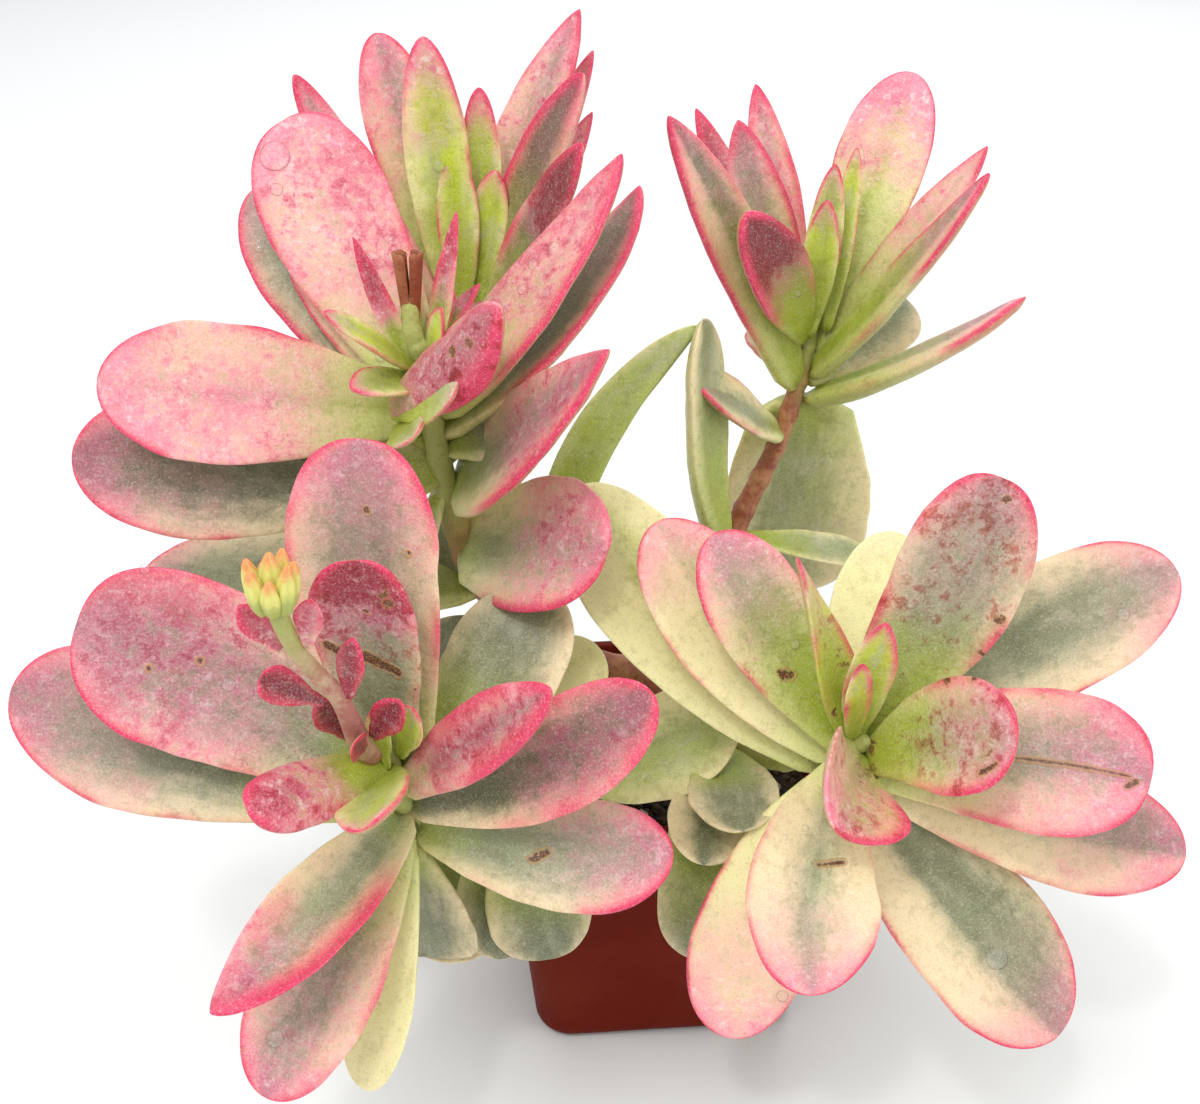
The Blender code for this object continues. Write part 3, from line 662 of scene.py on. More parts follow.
def stem_tube(points, joints=True, spacing=0.8, around=24):
    """A closed tube with old leaf joints along it, in plant millimetres."""
    path = smooth_path(points, spacing)
    run = np.concatenate([[0], np.cumsum(np.linalg.norm(np.diff(path[:, :3], axis=0), axis=1))])
    verts = []
    side = None
    for i, (x, y, z, radius) in enumerate(path):
        ahead = path[min(i + 1, len(path) - 1), :3] - path[max(i - 1, 0), :3]
        tangent = Vector(ahead).normalized()
        if side is None:
            side = tangent.orthogonal().normalized()
        side = (side - side.dot(tangent) * tangent).normalized()
        other = tangent.cross(side)
        if joints:
            offset = (run[i] / JOINT_SPACING) % 1 - 0.5
            radius += JOINT_SWELL * np.exp(-(offset / 0.12) ** 2)
        end = min(run[i], run[-1] - run[i])
        radius *= min(1, sqrt(0.15 + end / 2))
        for k in range(around):
            angle = 2 * pi * k / around
            verts.append(Vector((x, y, z)) + (side * cos(angle) + other * sin(angle)) * radius)
    count = len(path)
    faces = skin_faces(count, around)
    faces.append(tuple(range(around))[::-1])
    faces.append(tuple(range((count - 1) * around, count * around)))
    return verts, faces, {}


def joined_stems(name, tubes, voxel, paths, material):
    """Tubes melted into one skin, with bark relief and how far each place is from a shoot tip."""
    obj = new_object(name, plain_mesh(name, *joined(tubes)))
    remesh = obj.modifiers.new("melt", "REMESH")
    remesh.mode = "VOXEL"
    remesh.voxel_size = voxel * MM
    soften = obj.modifiers.new("soften", "SMOOTH")
    soften.factor = 0.5
    soften.iterations = 4
    fine = evaluated_mesh(obj)
    bpy.data.objects.remove(obj)
    places, ages = [], []
    for points in paths:
        path = smooth_path(points, 1.5)
        steps = np.linalg.norm(np.diff(path[:, :3], axis=0), axis=1)
        places.extend(to_world(path[:, :3]))
        ages.extend(steps.sum() - np.concatenate([[0], np.cumsum(steps)]))
    tree = kdtree.KDTree(len(places))
    for number, place in enumerate(places):
        tree.insert(place, number)
    tree.balance()
    count = len(fine.vertices)
    spots, normals = np.empty(count * 3), np.empty(count * 3)
    fine.vertices.foreach_get("co", spots)
    fine.vertices.foreach_get("normal", normals)
    spots = spots.reshape(-1, 3)
    age = [ages[tree.find(spot)[1]] for spot in spots]
    rough = [noise.noise(Vector(spot) * 900) * 0.07 + noise.noise(Vector(spot) * 2100) * 0.04
             for spot in spots]
    spots += normals.reshape(-1, 3) * np.array(rough)[:, None] * MM
    fine.vertices.foreach_set("co", spots.ravel())
    layer = fine.attributes.new("stem_age", "FLOAT", "POINT")
    layer.data.foreach_set("value", np.array(age, dtype=np.float32))
    fine.shade_smooth()
    return new_object(name, fine, material)


def split_stalk(base):
    """The torn stub of an old flower stalk, split in a V from the top, in plant millimetres."""
    rows, around = 14, 40
    verts = []
    for skin in (0, 1):
        for row in range(rows):
            t = row / (rows - 1)
            for k in range(around):
                angle = 2 * pi * k / around
                split = max(0, 1 - abs(sin(angle)) ** 0.5 * 2.5)
                wall = (0.7 - 0.25 * t) * skin
                ragged = 0.9 * noise.noise(Vector((angle * 1.7, 3.0, 0)))
                height = t * (STUB_HEIGHT + ragged - 9.0 * split * (sin(angle) ** 2 < 0.35))
                spread = height / STUB_HEIGHT
                x = (1.3 + 1.3 * spread - wall) * sin(angle)
                y = (1.5 + 0.2 * spread - wall) * cos(angle)
                verts.append(Vector(base) + Vector((x, y, height - STUB_SUNK)))
    span = rows * around
    top = span - around
    faces = skin_faces(rows, around) + skin_faces(rows, around, first=span, flip=True)
    for k in range(around):
        j = (k + 1) % around
        faces.append((k, k + span, j + span, j))
        faces.append((top + k, top + j, top + j + span, top + k + span))
    return verts, faces


def floret(centre, lean, length, width, openness):
    """A closed five-petalled bud: vertices, faces, and how far along and on a lobe each lies."""
    axis = Vector(lean).normalized()
    side = axis.orthogonal().normalized()
    other = axis.cross(side)
    rows, around = 16, 30
    verts, place = [], []
    for row in range(rows):
        t = row / (rows - 1)
        body = sin(pi * min(0.08 + 0.9 * t, 1)) ** 0.6 * (1 - 0.25 * t)
        for k in range(around):
            angle = 2 * pi * k / around
            lobe = abs(cos(2.5 * angle))
            radius = width / 2 * body * (0.82 + 0.18 * lobe + openness * t * t * (lobe - 0.3))
            spot = Vector(centre) + axis * length * t * (1 + 0.12 * openness * (lobe - 0.5) * t)
            verts.append(spot + (side * cos(angle) + other * sin(angle)) * radius)
            place.append((t, lobe, 0))
    verts += [Vector(centre), Vector(centre) + axis * length * 0.98]
    place += [(0, 0, 0), (1, 0, 0)]
    faces = skin_faces(rows, around)
    top = (rows - 1) * around
    for k in range(around):
        j = (k + 1) % around
        faces.append((len(verts) - 2, j, k))
        faces.append((len(verts) - 1, top + k, top + j))
    return verts, faces, {"petal_place": place}


# ---------------------------------------------------------------- pot and soil

def square_ring(side, height, corner):
    """Points round a level square with rounded corners, in millimetres."""
    ring = []
    reach = side / 2 - corner
    for quarter in range(4):
        middle = quarter * pi / 2 + pi / 4
        centre = Vector((cos(middle), sin(middle))) * reach * sqrt(2)
        for step in range(CORNER_STEPS + 1):
            angle = middle + (step / CORNER_STEPS - 0.5) * pi / 2
            ring.append(Vector((centre.x + corner * cos(angle), centre.y + corner * sin(angle),
                                height)))
    return ring


def side_at(z):
    """Outer side length of the pot's wall at a height, below its rim."""
    return POT_BOTTOM + (POT_TOP - 2 * RIM_STEP - POT_BOTTOM) * z / POT_HEIGHT


def rounded_foot(low, side, corner, radius):
    """Sections that round the bottom edge of a block which stands at height low."""
    sections = []
    for step in range(FOOT_STEPS + 1):
        angle = step / FOOT_STEPS * pi / 2
        inset = radius * (1 - sin(angle))
        sections.append((side - 2 * inset, low + radius * (1 - cos(angle)), corner - inset))
    return sections


def ring_solid(bm, rings):
    """A closed body through rings of points, in millimetres."""
    rows = [[bm.verts.new(point * MM) for point in ring] for ring in rings]
    for near, far in zip(rows, rows[1:]):
        for i in range(len(near)):
            j = (i + 1) % len(near)
            bm.faces.new((near[i], near[j], far[j], far[i]))
    bm.faces.new(rows[0])
    bm.faces.new(rows[-1])


def cut_away(obj, name, bm):
    """Cuts a shape out of an object and keeps the result as a plain mesh."""
    bmesh.ops.recalc_face_normals(bm, faces=bm.faces)
    cutter = new_object(name, mesh_from(name, bm))
    modifier = obj.modifiers.new(name, "BOOLEAN")
    modifier.operation = "DIFFERENCE"
    modifier.solver = "EXACT"
    modifier.object = cutter
    result = evaluated_mesh(obj)
    obj.modifiers.clear()
    obj.data = result
    bpy.data.objects.remove(cutter)


def pot_sections(wall, corner):
    """Outer wall up to the stepped rim, over the lip and down the inside to the floor."""
    rim = POT_HEIGHT - RIM_HEIGHT
    outer = corner + RIM_STEP
    sections = rounded_foot(0, side_at(BASE_RADIUS), corner, BASE_RADIUS)
    sections += [
        (side_at(rim - 0.4), rim - 0.4, corner),
        (side_at(rim) + 0.1, rim - 0.1, corner),
        (side_at(rim) + 2 * RIM_STEP - 0.3, rim + RIM_STEP / 2 - 0.1, outer),
        (side_at(rim) + 2 * RIM_STEP, rim + RIM_STEP / 2 + 0.2, outer),
    ]
    for step in range(LIP_STEPS + 1):
        angle = step / LIP_STEPS * pi / 2
        inset = LIP_RADIUS * (1 - cos(angle))
        sections.append((POT_TOP - 2 * inset, POT_HEIGHT - LIP_RADIUS * (1 - sin(angle)),
                         outer - inset))
    inner = rounded_foot(POT_FLOOR, side_at(POT_FLOOR) - 2 * wall, corner - wall, BASE_RADIUS - 1)
    mouth = POT_TOP - 2 * (RIM_STEP + wall)
    inner += [
        (mouth - 0.1, POT_HEIGHT - LIP_RADIUS, corner - wall),
        (mouth + 0.3, POT_HEIGHT - LIP_RADIUS / 3, corner - wall),
        (mouth + 1.0, POT_HEIGHT, corner - wall + 0.5),
    ]
    return sections + inner[::-1]


def soil_height(x, y):
    """Height of the soil's surface at a place, in millimetres."""
    half = side_at(SOIL_TOP) / 2
    away = max(abs(x), abs(y)) / half
    dome = SOIL_TOP + SOIL_MOUND * max(0, 1 - away ** 2) ** 0.7
    spot = Vector((x, y, 0))
    return dome + 0.9 * noise.noise(spot * 0.12) + 0.6 * noise.noise(spot * 0.35) - 0.4


# ---------------------------------------------------------------- materials

class Field:
    """A value that varies over a surface, as a node gives it out. Arithmetic adds nodes."""

    def __init__(self, recipe, socket):
        self.recipe = recipe
        self.socket = socket

    def __add__(self, other):
        return self.recipe.math("ADD", self, other)

    def __sub__(self, other):
        return self.recipe.math("SUBTRACT", self, other)

    def __rsub__(self, other):
        return self.recipe.math("SUBTRACT", other, self)

    def __mul__(self, other):
        return self.recipe.math("MULTIPLY", self, other)

    def __truediv__(self, other):
        return self.recipe.math("DIVIDE", self, other)

    def __abs__(self):
        return self.recipe.math("ABSOLUTE", self)

    __radd__ = __add__
    __rmul__ = __mul__


class Recipe:
    """Builds one node material, a node at a time."""

    def __init__(self, name):
        self.material = bpy.data.materials.new(name)
        self.material.use_nodes = True
        self.tree = self.material.node_tree
        self.shader = self.tree.nodes["Principled BSDF"]

    def put(self, socket, value):
        if isinstance(value, Field):
            self.tree.links.new(value.socket, socket)
        else:
            socket.default_value = value

    def take(self, output, kind, inputs=(), **settings):
        """Adds a node and returns one of its outputs, or several if output is a tuple."""
        node = self.tree.nodes.new(kind)
        for key, value in settings.items():
            setattr(node, key, value)
        for key, value in dict(inputs).items():
            self.put(node.inputs[key], value)
        if isinstance(output, tuple):
            return [Field(self, node.outputs[key]) for key in output]
        return Field(self, node.outputs[output])

    def set(self, **values):
        """Sets the shader's inputs; an underscore stands for a space."""
        for key, value in values.items():
            self.put(self.shader.inputs[key.replace("_", " ")], value)

    def math(self, operation, *values):
        return self.take(0, "ShaderNodeMath", enumerate(values), operation=operation)

    def most(self, a, b):
        return self.math("MAXIMUM", a, b)

    def least(self, a, b):
        return self.math("MINIMUM", a, b)

    def band(self, value, low, high):
        """A smooth step from 0 at low to 1 at high."""
        inputs = {"Value": value, "From Min": low, "From Max": high}
        return self.take(0, "ShaderNodeMapRange", inputs, interpolation_type="SMOOTHSTEP")

    def blend(self, a, b, factor, kind="MIX"):
        """Colour a turning into colour b."""
        a, b = (colour if isinstance(colour, Field) else (*colour, 1) for colour in (a, b))
        return self.take(2, "ShaderNodeMix", {0: factor, 6: a, 7: b}, data_type="RGBA",
                         blend_type=kind)

    def tint(self, a, b, factor):
        """Colour a multiplied by colour b."""
        return self.blend(a, b, factor, "MULTIPLY")

    def ragged(self, place, amount):
        """The place moved about by a noise, so that round spots grow ragged."""
        kind = "ShaderNodeVectorMath"
        shift = self.take(0, kind, {0: self.vector(amount, amount, 0.5), 1: (0.5, 0.5, 0.5)},
                          operation="SUBTRACT")
        shift = self.take(0, kind, {0: shift, "Scale": 0.008}, operation="SCALE")
        return self.take(0, kind, {0: place, 1: shift}, operation="ADD")

    def vector(self, x, y, z):
        return self.take(0, "ShaderNodeCombineXYZ", {0: x, 1: y, 2: z})

    def parts(self, attribute):
        """The three numbers of a vector attribute."""
        source = self.take("Vector", "ShaderNodeAttribute", attribute_name=attribute)
        return self.take((0, 1, 2), "ShaderNodeSeparateXYZ", {0: source})

    def value(self, attribute):
        """The number of a plain attribute."""
        return self.take("Fac", "ShaderNodeAttribute", attribute_name=attribute)

    def place(self):
        return self.take("Object", "ShaderNodeTexCoord")

    def noise(self, vector, scale, detail=2.0, roughness=0.5):
        inputs = {"Vector": vector, "Scale": scale, "Detail": detail, "Roughness": roughness}
        return self.take("Fac", "ShaderNodeTexNoise", inputs)

    def cells(self, vector, scale):
        """How far a place is from the middle of its cell, and where that middle lies."""
        return self.take(("Distance", "Position"), "ShaderNodeTexVoronoi",
                         {"Vector": vector, "Scale": scale})

    def bump(self, height, distance, strength):
        inputs = {"Height": height, "Distance": distance, "Strength": strength}
        return self.take("Normal", "ShaderNodeBump", inputs)


def scar_mask(m, name, rough):
    """How deep a place lies in a scar, and how near the scar's raised border."""
    along, across, _ = m.parts(f"{name}_scar")
    half_run, width, _ = m.parts(f"{name}_scar_size")
    beyond = m.most(abs(along) - half_run, 0.0)
    away = m.math("SQRT", beyond * beyond + across * across)
    away += (rough - 0.5) * width * 3.2
    inside = 1 - m.band(away - width, -0.25, 0.15)
    border = 1 - m.band(abs(away - width - 0.25), 0.0, 0.35)
    real = m.band(width, 0.0, 0.2)
    return inside * real, border * real


def leaf_material(colours):
    m = Recipe("crassula_leaf_flesh")
    u, v, side = m.parts("leaf_place")
    half, length, seed = m.parts("leaf_size")
    light, blush, begin = m.parts("leaf_tone")
    left, right, rim = m.parts("leaf_margin")
    worn, foot, lean = m.parts("leaf_wear")
    x = u * half
    y = v * length
    edge = abs(u)
    here = m.place()
    grain = m.noise(here, 2800, 2, 0.7)
    mottle = m.noise(here, 420, 5, 0.68)
    cloud = m.noise(here, 120, 4, 0.6)
    broad = m.noise(here, 55, 2)
    flow = m.noise(m.vector(x * 0.16, y * 0.05, seed * 3.1), 1.0, 3)
    fibre = m.noise(m.vector(x * 0.45, y * 0.13, seed * 2.3), 1.0, 4, 0.65)
    fibre = fibre * 0.6 + cloud * 0.4
    # Green of the middle: dark grey green, partly painted shade, to lime, limest at the foot
    green = m.blend(colours.dark_green_and_shade, colours.sage, m.band(light, 0.0, 0.5))
    green = m.blend(green, colours.lime, m.band(light, 0.5, 1.0))
    centre = (1 - m.band(edge, 0.15, 0.75)) * m.band(flow, 0.35, 0.65)
    green = m.blend(green, colours.dark_green_and_shade, centre * 0.35)
    green = m.blend(green, colours.pale_streak, m.band(fibre, 0.46, 0.64) * (0.2 + light * 0.4))
    # Towards the foot the green turns to the foot colour, partly painted shade where the leaf meets
    # the stem
    up_foot = (v + cloud * 0.3) / m.most(foot, 0.3)
    near_foot = 1 - m.band(up_foot, 0.15, 0.7)
    green = m.blend(green, colours.foot, near_foot * m.least(foot, 0.9))
    # Cream margins, wider on one side than the other
    which = m.band(u, -0.3, 0.3)
    margin = left * (1 - which) + right * which
    ragged = (fibre - 0.5) * 0.7 + (mottle - 0.5) * 0.35
    into = edge + ragged + margin - 1.0
    cream = m.band(into, -0.45, 0.4) * m.band(margin, 0.0, 0.08)
    pale = m.blend(colours.cream, colours.yellow, m.band(light + near_foot * 0.5, 0.3, 1.1))
    skin = m.blend(green, pale, cream * 0.92)
    # The foot colour over the margins too, partly painted shade at the leaf's foot
    skin = m.blend(skin, colours.foot, near_foot * m.least(foot, 1.2) * 0.62)
    # Pink blush over it, mottled, stronger towards the tip and the edges
    along = v + (cloud - 0.5) * 0.6 - begin
    reach = m.band(along, -0.15, 0.35) * blush
    patches = 0.36 + m.band(mottle * 0.6 + broad * 0.4, 0.38, 0.62) * 0.64
    pink = reach * patches
    tip_pink = m.band(v + edge * 0.15, 0.82, 1.08) * m.band(rim, 0.0, 0.5)
    heavy = m.most(reach * (0.6 + patches) - 1.4, 0.0)
    pink = m.least(pink + tip_pink * 0.5, 1.0)
    skin = m.blend(skin, colours.powder, pink * (0.15 + light * 0.6))
    skin = m.tint(skin, colours.blush, pink * 0.8)
    skin = m.blend(skin, colours.rosy, pink * 0.16)
    deep = m.band(mottle * 0.6 + cloud * 0.4, 0.52, 0.68) * pink
    skin = m.tint(skin, colours.deep_pink, m.least(deep * 0.38 + heavy, 1.0))
    frost = m.band(m.noise(here, 520, 5, 0.75), 0.5, 0.68) * m.least(pink, 0.8)
    skin = m.blend(skin, colours.frost, frost * (0.1 + light * 0.75))
    # Salmon flush and hot edge line, measured in millimetres from the edge
    from_edge = (1 - edge) * half
    uneven = m.noise(m.vector(y * 0.07, which * 3.0, seed * 1.7), 1.0, 2)
    strength = m.band(uneven, 0.38, 0.64) * m.band(v, 0.12, 0.55)
    strength = m.most(strength, m.band(v, 0.8, 0.97))
    favoured = m.band(lean * u, 0.1, 0.4) * m.band(v, 0.1, 0.35)
    strength = m.most(strength, favoured)
    away = 1 - m.most(-1 * lean * u, 0.0)
    strength = strength * away * m.band(rim, 0.0, 0.4)
    span = m.most(rim, 0.05)
    near = (from_edge + (mottle - 0.5) * 0.8) / span
    flush = 1 - m.band(near, 0.4, 2.6)
    skin = m.tint(skin, colours.flush, flush * strength * 0.5)
    line = 1 - m.band(near, 0.2, 1.25)
    skin = m.blend(skin, colours.rim, line * strength * 0.95)
    # The underside is plainer and greener
    plain = m.blend(skin, colours.underside, 0.5)
    skin = m.blend(plain, skin, side)
    # Fine light and dark grains over the whole skin
    skin = m.blend(skin, colours.bloom, m.band(grain, 0.5, 0.72) * 0.26)
    skin = m.tint(skin, (0.62, 0.6, 0.58), m.band(grain, 0.48, 0.28) * 0.5)
    skin = m.tint(skin, (0.72, 0.7, 0.66), m.band(mottle, 0.5, 0.36) * 0.45)
    # Fine red marks, brown specks and scars
    wander = m.noise(here, 330, 3, 0.6)
    vein = 1 - m.band(abs(wander - 0.5), 0.0, 0.02)
    vein = vein * m.band(cloud, 0.48, 0.62) * m.band(worn, 0.0, 0.6)
    skin = m.tint(skin, colours.deep_pink, vein * 0.75 * side)
    rust = m.band(mottle * 0.7 + cloud * 0.3, 0.5, 0.62) * side
    rust = rust * m.band(worn, 0.5, 1.0) * m.band(v, 0.2, 0.45)
    skin = m.tint(skin, colours.rust, rust * 0.85)
    from_speck, speck_middle = m.cells(m.ragged(here, wander), 230)
    speck = 1 - m.band(from_speck, 0.16, 0.26)
    chosen = m.band(m.noise(speck_middle, 90, 1), 0.52, 0.6) * m.band(worn, 0.3, 0.9) * side
    spots = speck * chosen
    halo = m.band(from_speck, 0.36, 0.24) * chosen
    first_mark, first_edge = scar_mask(m, "first", mottle)
    second_mark, second_edge = scar_mask(m, "second", mottle)
    mark = m.most(m.most(first_mark, second_mark), spots * 0.9)
    border = m.most(m.most(first_edge, second_edge), halo * 0.5)
    mark = mark * side
    skin = m.blend(skin, colours.scar_edge, border * side * 0.7)
    skin = m.blend(skin, m.blend(colours.scar, colours.scar_edge, m.band(grain, 0.5, 0.7)), mark)
    height = cloud * 1.6 + mottle * 0.7 + grain * 0.2 + border * 0.35 - mark * 0.5
    m.set(Base_Color=skin, Roughness=0.27 + mottle * 0.28)
    m.set(Normal=m.bump(height, 0.0005, 0.6), Specular_IOR_Level=0.45)
    m.set(Subsurface_Weight=0.1, Subsurface_Scale=0.0015, Subsurface_Radius=(1.0, 0.6, 0.3))
    return m.material


def pot_material(colours):
    m = Recipe("pot_plastic")
    here = m.place()
    grain = m.noise(here, 900, 3, 0.6)
    flow = m.noise(here, 60, 3)
    dust = m.band(m.noise(here, 45, 5, 0.7), 0.55, 0.8)
    colour = m.blend(colours.pot, colours.pot_worn, m.band(flow, 0.4, 0.8) * 0.5)
    colour = m.blend(colour, colours.dust, dust * 0.12)
    m.set(Base_Color=colour, Roughness=0.42 + grain * 0.2, Specular_IOR_Level=0.06)
    m.set(Normal=m.bump(grain + flow * 2.0, 0.0002, 0.35))
    return m.material


def soil_material(colours):
    m = Recipe("potting_soil")
    here = m.place()
    crumb = m.cells(here, 420)[0]
    lumps = m.noise(here, 180, 5, 0.7)
    colour = m.blend(colours.soil_dark, colours.soil_light, m.band(lumps, 0.4, 0.75))
    m.set(Base_Color=colour, Roughness=0.92)
    m.set(Normal=m.bump(lumps + crumb, 0.0012, 0.8))
    return m.material


def stem_material(name, young, old, bark, scar):
    """Stem skin, green near the tips and brown further down; young and old are in mm."""
    m = Recipe(name)
    age = m.value("stem_age")
    here = m.place()
    grain = m.noise(here, 900, 4, 0.65)
    broad = m.noise(here, 160, 3)
    ripe = m.band(age + (broad - 0.5) * 14.0, young, old)
    tone = m.band(broad * 0.6 + grain * 0.4, 0.4, 0.6)
    colour = m.blend(bark[0], m.blend(bark[1], bark[2], tone), ripe)
    colour = m.blend(colour, scar, m.band(grain, 0.56, 0.72) * 0.45)
    m.set(Base_Color=colour, Roughness=0.42 + grain * 0.25)
    m.set(Normal=m.bump(grain + broad, 0.0006, 0.6))
    m.set(Subsurface_Weight=0.05, Subsurface_Scale=0.001)
    return m.material


def petal_material(colours):
    m = Recipe("crassula_petal")
    along, lobe, _ = m.parts("petal_place")
    here = m.place()
    grain = m.noise(here, 1500, 3, 0.6)
    wander = along + (grain - 0.5) * 0.25
    colour = m.blend(colours.calyx, colours.petal, m.band(wander, 0.25, 0.6))
    tip = m.band(wander, 0.68, 0.92) * (0.45 + lobe * 0.55)
    colour = m.blend(colour, colours.petal_tip, tip)
    m.set(Base_Color=colour, Roughness=0.35 + grain * 0.2)
    m.set(Normal=m.bump(grain, 0.0002, 0.4))
    m.set(Subsurface_Weight=0.15, Subsurface_Scale=0.001)
    return m.material


def water_material():
    """Water as a clear film, strongest at its rim, with a painted dark refraction ring and sharp
    highlights.
    """
    m = Recipe("clear_water")
    ripple = m.noise(m.place(), 300, 1)
    rim = m.take("Facing", "ShaderNodeLayerWeight", {"Blend": 0.35})
    clear = m.blend((1.0, 1.0, 1.0), (0.94, 0.98, 1.0), ripple)
    # Painted refraction: where the view grazes the drop, its rim is painted dark red brown
    m.set(Base_Color=m.blend(clear, (0.30, 0.13, 0.14), m.band(rim, 0.2, 0.45)))
    m.set(Alpha=0.07 + m.band(rim, 0.22, 0.65) * 0.7, Roughness=0.04, IOR=1.33)
    m.set(Specular_IOR_Level=1.0, Coat_Weight=1.0, Coat_Roughness=0.02)
    return m.material


def crumb_material(colours):
    m = Recipe("soil_crumbs")
    tone = m.value("crumb_tone")
    here = m.place()
    grain = m.noise(here, 1200, 4, 0.7)
    colour = m.blend(colours.soil_dark, colours.soil_light, m.band(tone, 0.1, 0.8))
    colour = m.blend(colour, colours.perlite, m.band(tone, 0.9, 0.905))
    colour = m.tint(colour, (0.55, 0.5, 0.45), m.band(grain, 0.62, 0.42))
    m.set(Base_Color=colour, Roughness=0.9)
    m.set(Normal=m.bump(grain, 0.0004, 0.7))
    return m.material


# ---------------------------------------------------------------- scattered pieces

class Tree:
    """A Geometry Nodes tree built node by node."""

    def __init__(self, name, inputs):
        self.group = bpy.data.node_groups.new(name, "GeometryNodeTree")
        face = self.group.interface
        face.new_socket("Geometry", in_out="INPUT", socket_type="NodeSocketGeometry")
        face.new_socket("Geometry", in_out="OUTPUT", socket_type="NodeSocketGeometry")
        for key, (kind, value) in inputs.items():
            socket = face.new_socket(key, in_out="INPUT", socket_type=f"NodeSocket{kind}")
            if value is not None:
                socket.default_value = value
        self.inlet = self.node("NodeGroupInput")
        self.outlet = self.node("NodeGroupOutput")

    def node(self, kind, inputs=(), **settings):
        node = self.group.nodes.new(kind)
        for key, value in settings.items():
            setattr(node, key, value)
        for key, value in dict(inputs).items():
            if isinstance(value, bpy.types.NodeSocket):
                self.group.links.new(value, node.inputs[key])
            else:
                node.inputs[key].default_value = value
        return node

    def finish(self, geometry):
        self.group.links.new(geometry, self.outlet.inputs[0])


def scatter_tree(name, shape_detail, flat, mark_tone):
    """Scatters small round shapes over the faces that look up."""
    tree = Tree(name, {
        "Density": ("Float", 10000.0),
        "Smallest": ("Float", 0.0003),
        "Largest": ("Float", 0.001),
        "Steepest": ("Float", 0.3),
        "Seed": ("Int", 1),
        "Material": ("Material", None),
    })
    inlet = tree.inlet.outputs
    normal = tree.node("GeometryNodeInputNormal").outputs[0]
    up = tree.node("ShaderNodeSeparateXYZ", {0: normal}).outputs["Z"]
    chosen = tree.node("FunctionNodeCompare", {0: up, 1: inlet["Steepest"]},
                       data_type="FLOAT", operation="GREATER_THAN").outputs[0]
    points = tree.node("GeometryNodeDistributePointsOnFaces", {
        "Mesh": inlet["Geometry"], "Selection": chosen, "Density": inlet["Density"],
        "Seed": inlet["Seed"],
    })
    share = tree.node("FunctionNodeRandomValue", {"Seed": inlet["Seed"]}, data_type="FLOAT")
    skewed = tree.node("ShaderNodeMath", {0: share.outputs[1], 1: 3.0}, operation="POWER")
    size = tree.node("ShaderNodeMapRange", {
        "Value": skewed.outputs[0], "To Min": inlet["Smallest"], "To Max": inlet["Largest"],
    }).outputs[0]
    shape = tree.node("GeometryNodeMeshIcoSphere", {"Radius": 1.0, "Subdivisions": shape_detail})
    flattened = tree.node("GeometryNodeTransform", {
        "Geometry": shape.outputs[0], "Scale": (1.0, 1.0, flat),
    })
    seeded = tree.node("ShaderNodeMath", {0: inlet["Seed"], 1: 1.0}, operation="ADD").outputs[0]
    turn = tree.node("FunctionNodeRandomValue", {"Seed": seeded, 1: (6.28, 6.28, 6.28)},
                     data_type="FLOAT_VECTOR").outputs[0]
    rotation = turn if mark_tone else points.outputs["Rotation"]
    placed = tree.node("GeometryNodeInstanceOnPoints", {
        "Points": points.outputs[0], "Instance": flattened.outputs[0],
        "Rotation": rotation, "Scale": size,
    }).outputs[0]
    if mark_tone:
        tone = tree.node("FunctionNodeRandomValue", {"Seed": inlet["Seed"]},
                         data_type="FLOAT").outputs[1]
        placed = tree.node("GeometryNodeStoreNamedAttribute", {
            "Geometry": placed, "Name": "crumb_tone", "Value": tone,
        }, data_type="FLOAT", domain="INSTANCE").outputs[0]
    real = tree.node("GeometryNodeRealizeInstances", {0: placed}).outputs[0]
    if mark_tone:
        where = tree.node("GeometryNodeInputPosition").outputs[0]
        lumps = tree.node("ShaderNodeTexNoise", {"Vector": where, "Scale": 700.0}).outputs["Color"]
        centred = tree.node("ShaderNodeVectorMath", {0: lumps, 1: (0.5, 0.5, 0.5)},
                            operation="SUBTRACT").outputs[0]
        push = tree.node("ShaderNodeVectorMath", {0: centred, "Scale": 0.0012},
                         operation="SCALE").outputs[0]
        real = tree.node("GeometryNodeSetPosition", {"Geometry": real, "Offset": push}).outputs[0]
    smooth = tree.node("GeometryNodeSetShadeSmooth", {0: real}).outputs[0]
    painted = tree.node("GeometryNodeSetMaterial",
                        {"Geometry": smooth, "Material": inlet["Material"]}).outputs[0]
    tree.finish(painted)
    return tree.group


def scattered(name, ground, group, values):
    """The plain mesh that a scatter tree makes over a ground mesh."""
    guide = new_object(name, ground)
    modifier = guide.modifiers.new("scatter", "NODES")
    modifier.node_group = group
    for item in group.interface.items_tree:
        if item.in_out == "INPUT" and item.name in values:
            modifier[item.identifier] = values[item.name]
    guide.update_tag()
    bpy.context.view_layer.update()
    mesh = evaluated_mesh(guide)
    bpy.data.objects.remove(guide)
    return mesh


def drop_mesh(spots):
    """Rounded water drops at (place, normal, radius) rows, in metres."""
    bm = bmesh.new()
    for place, normal, radius in spots:
        made = bmesh.ops.create_uvsphere(bm, u_segments=20, v_segments=12, radius=radius)
        turn = Vector(normal).to_track_quat("Z", "Y").to_matrix()
        for vertex in made["verts"]:
            local = vertex.co.copy()
            local.z *= 0.5
            lump = 1 + 0.12 * noise.noise(local * 300 + Vector(place) * 1000)
            vertex.co = Vector(place) + turn @ (local * lump)
    return bm


# ---------------------------------------------------------------- settings

def colour_setting(name, description, default):
    return bpy.props.FloatVectorProperty(name=name, description=description, subtype="COLOR",
                                         size=3, min=0, max=1, default=default)


def length_setting(name, description, default):
    return bpy.props.FloatProperty(name=name, description=description, default=default * MM,
                                   min=0, unit="LENGTH", subtype="DISTANCE", precision=4)


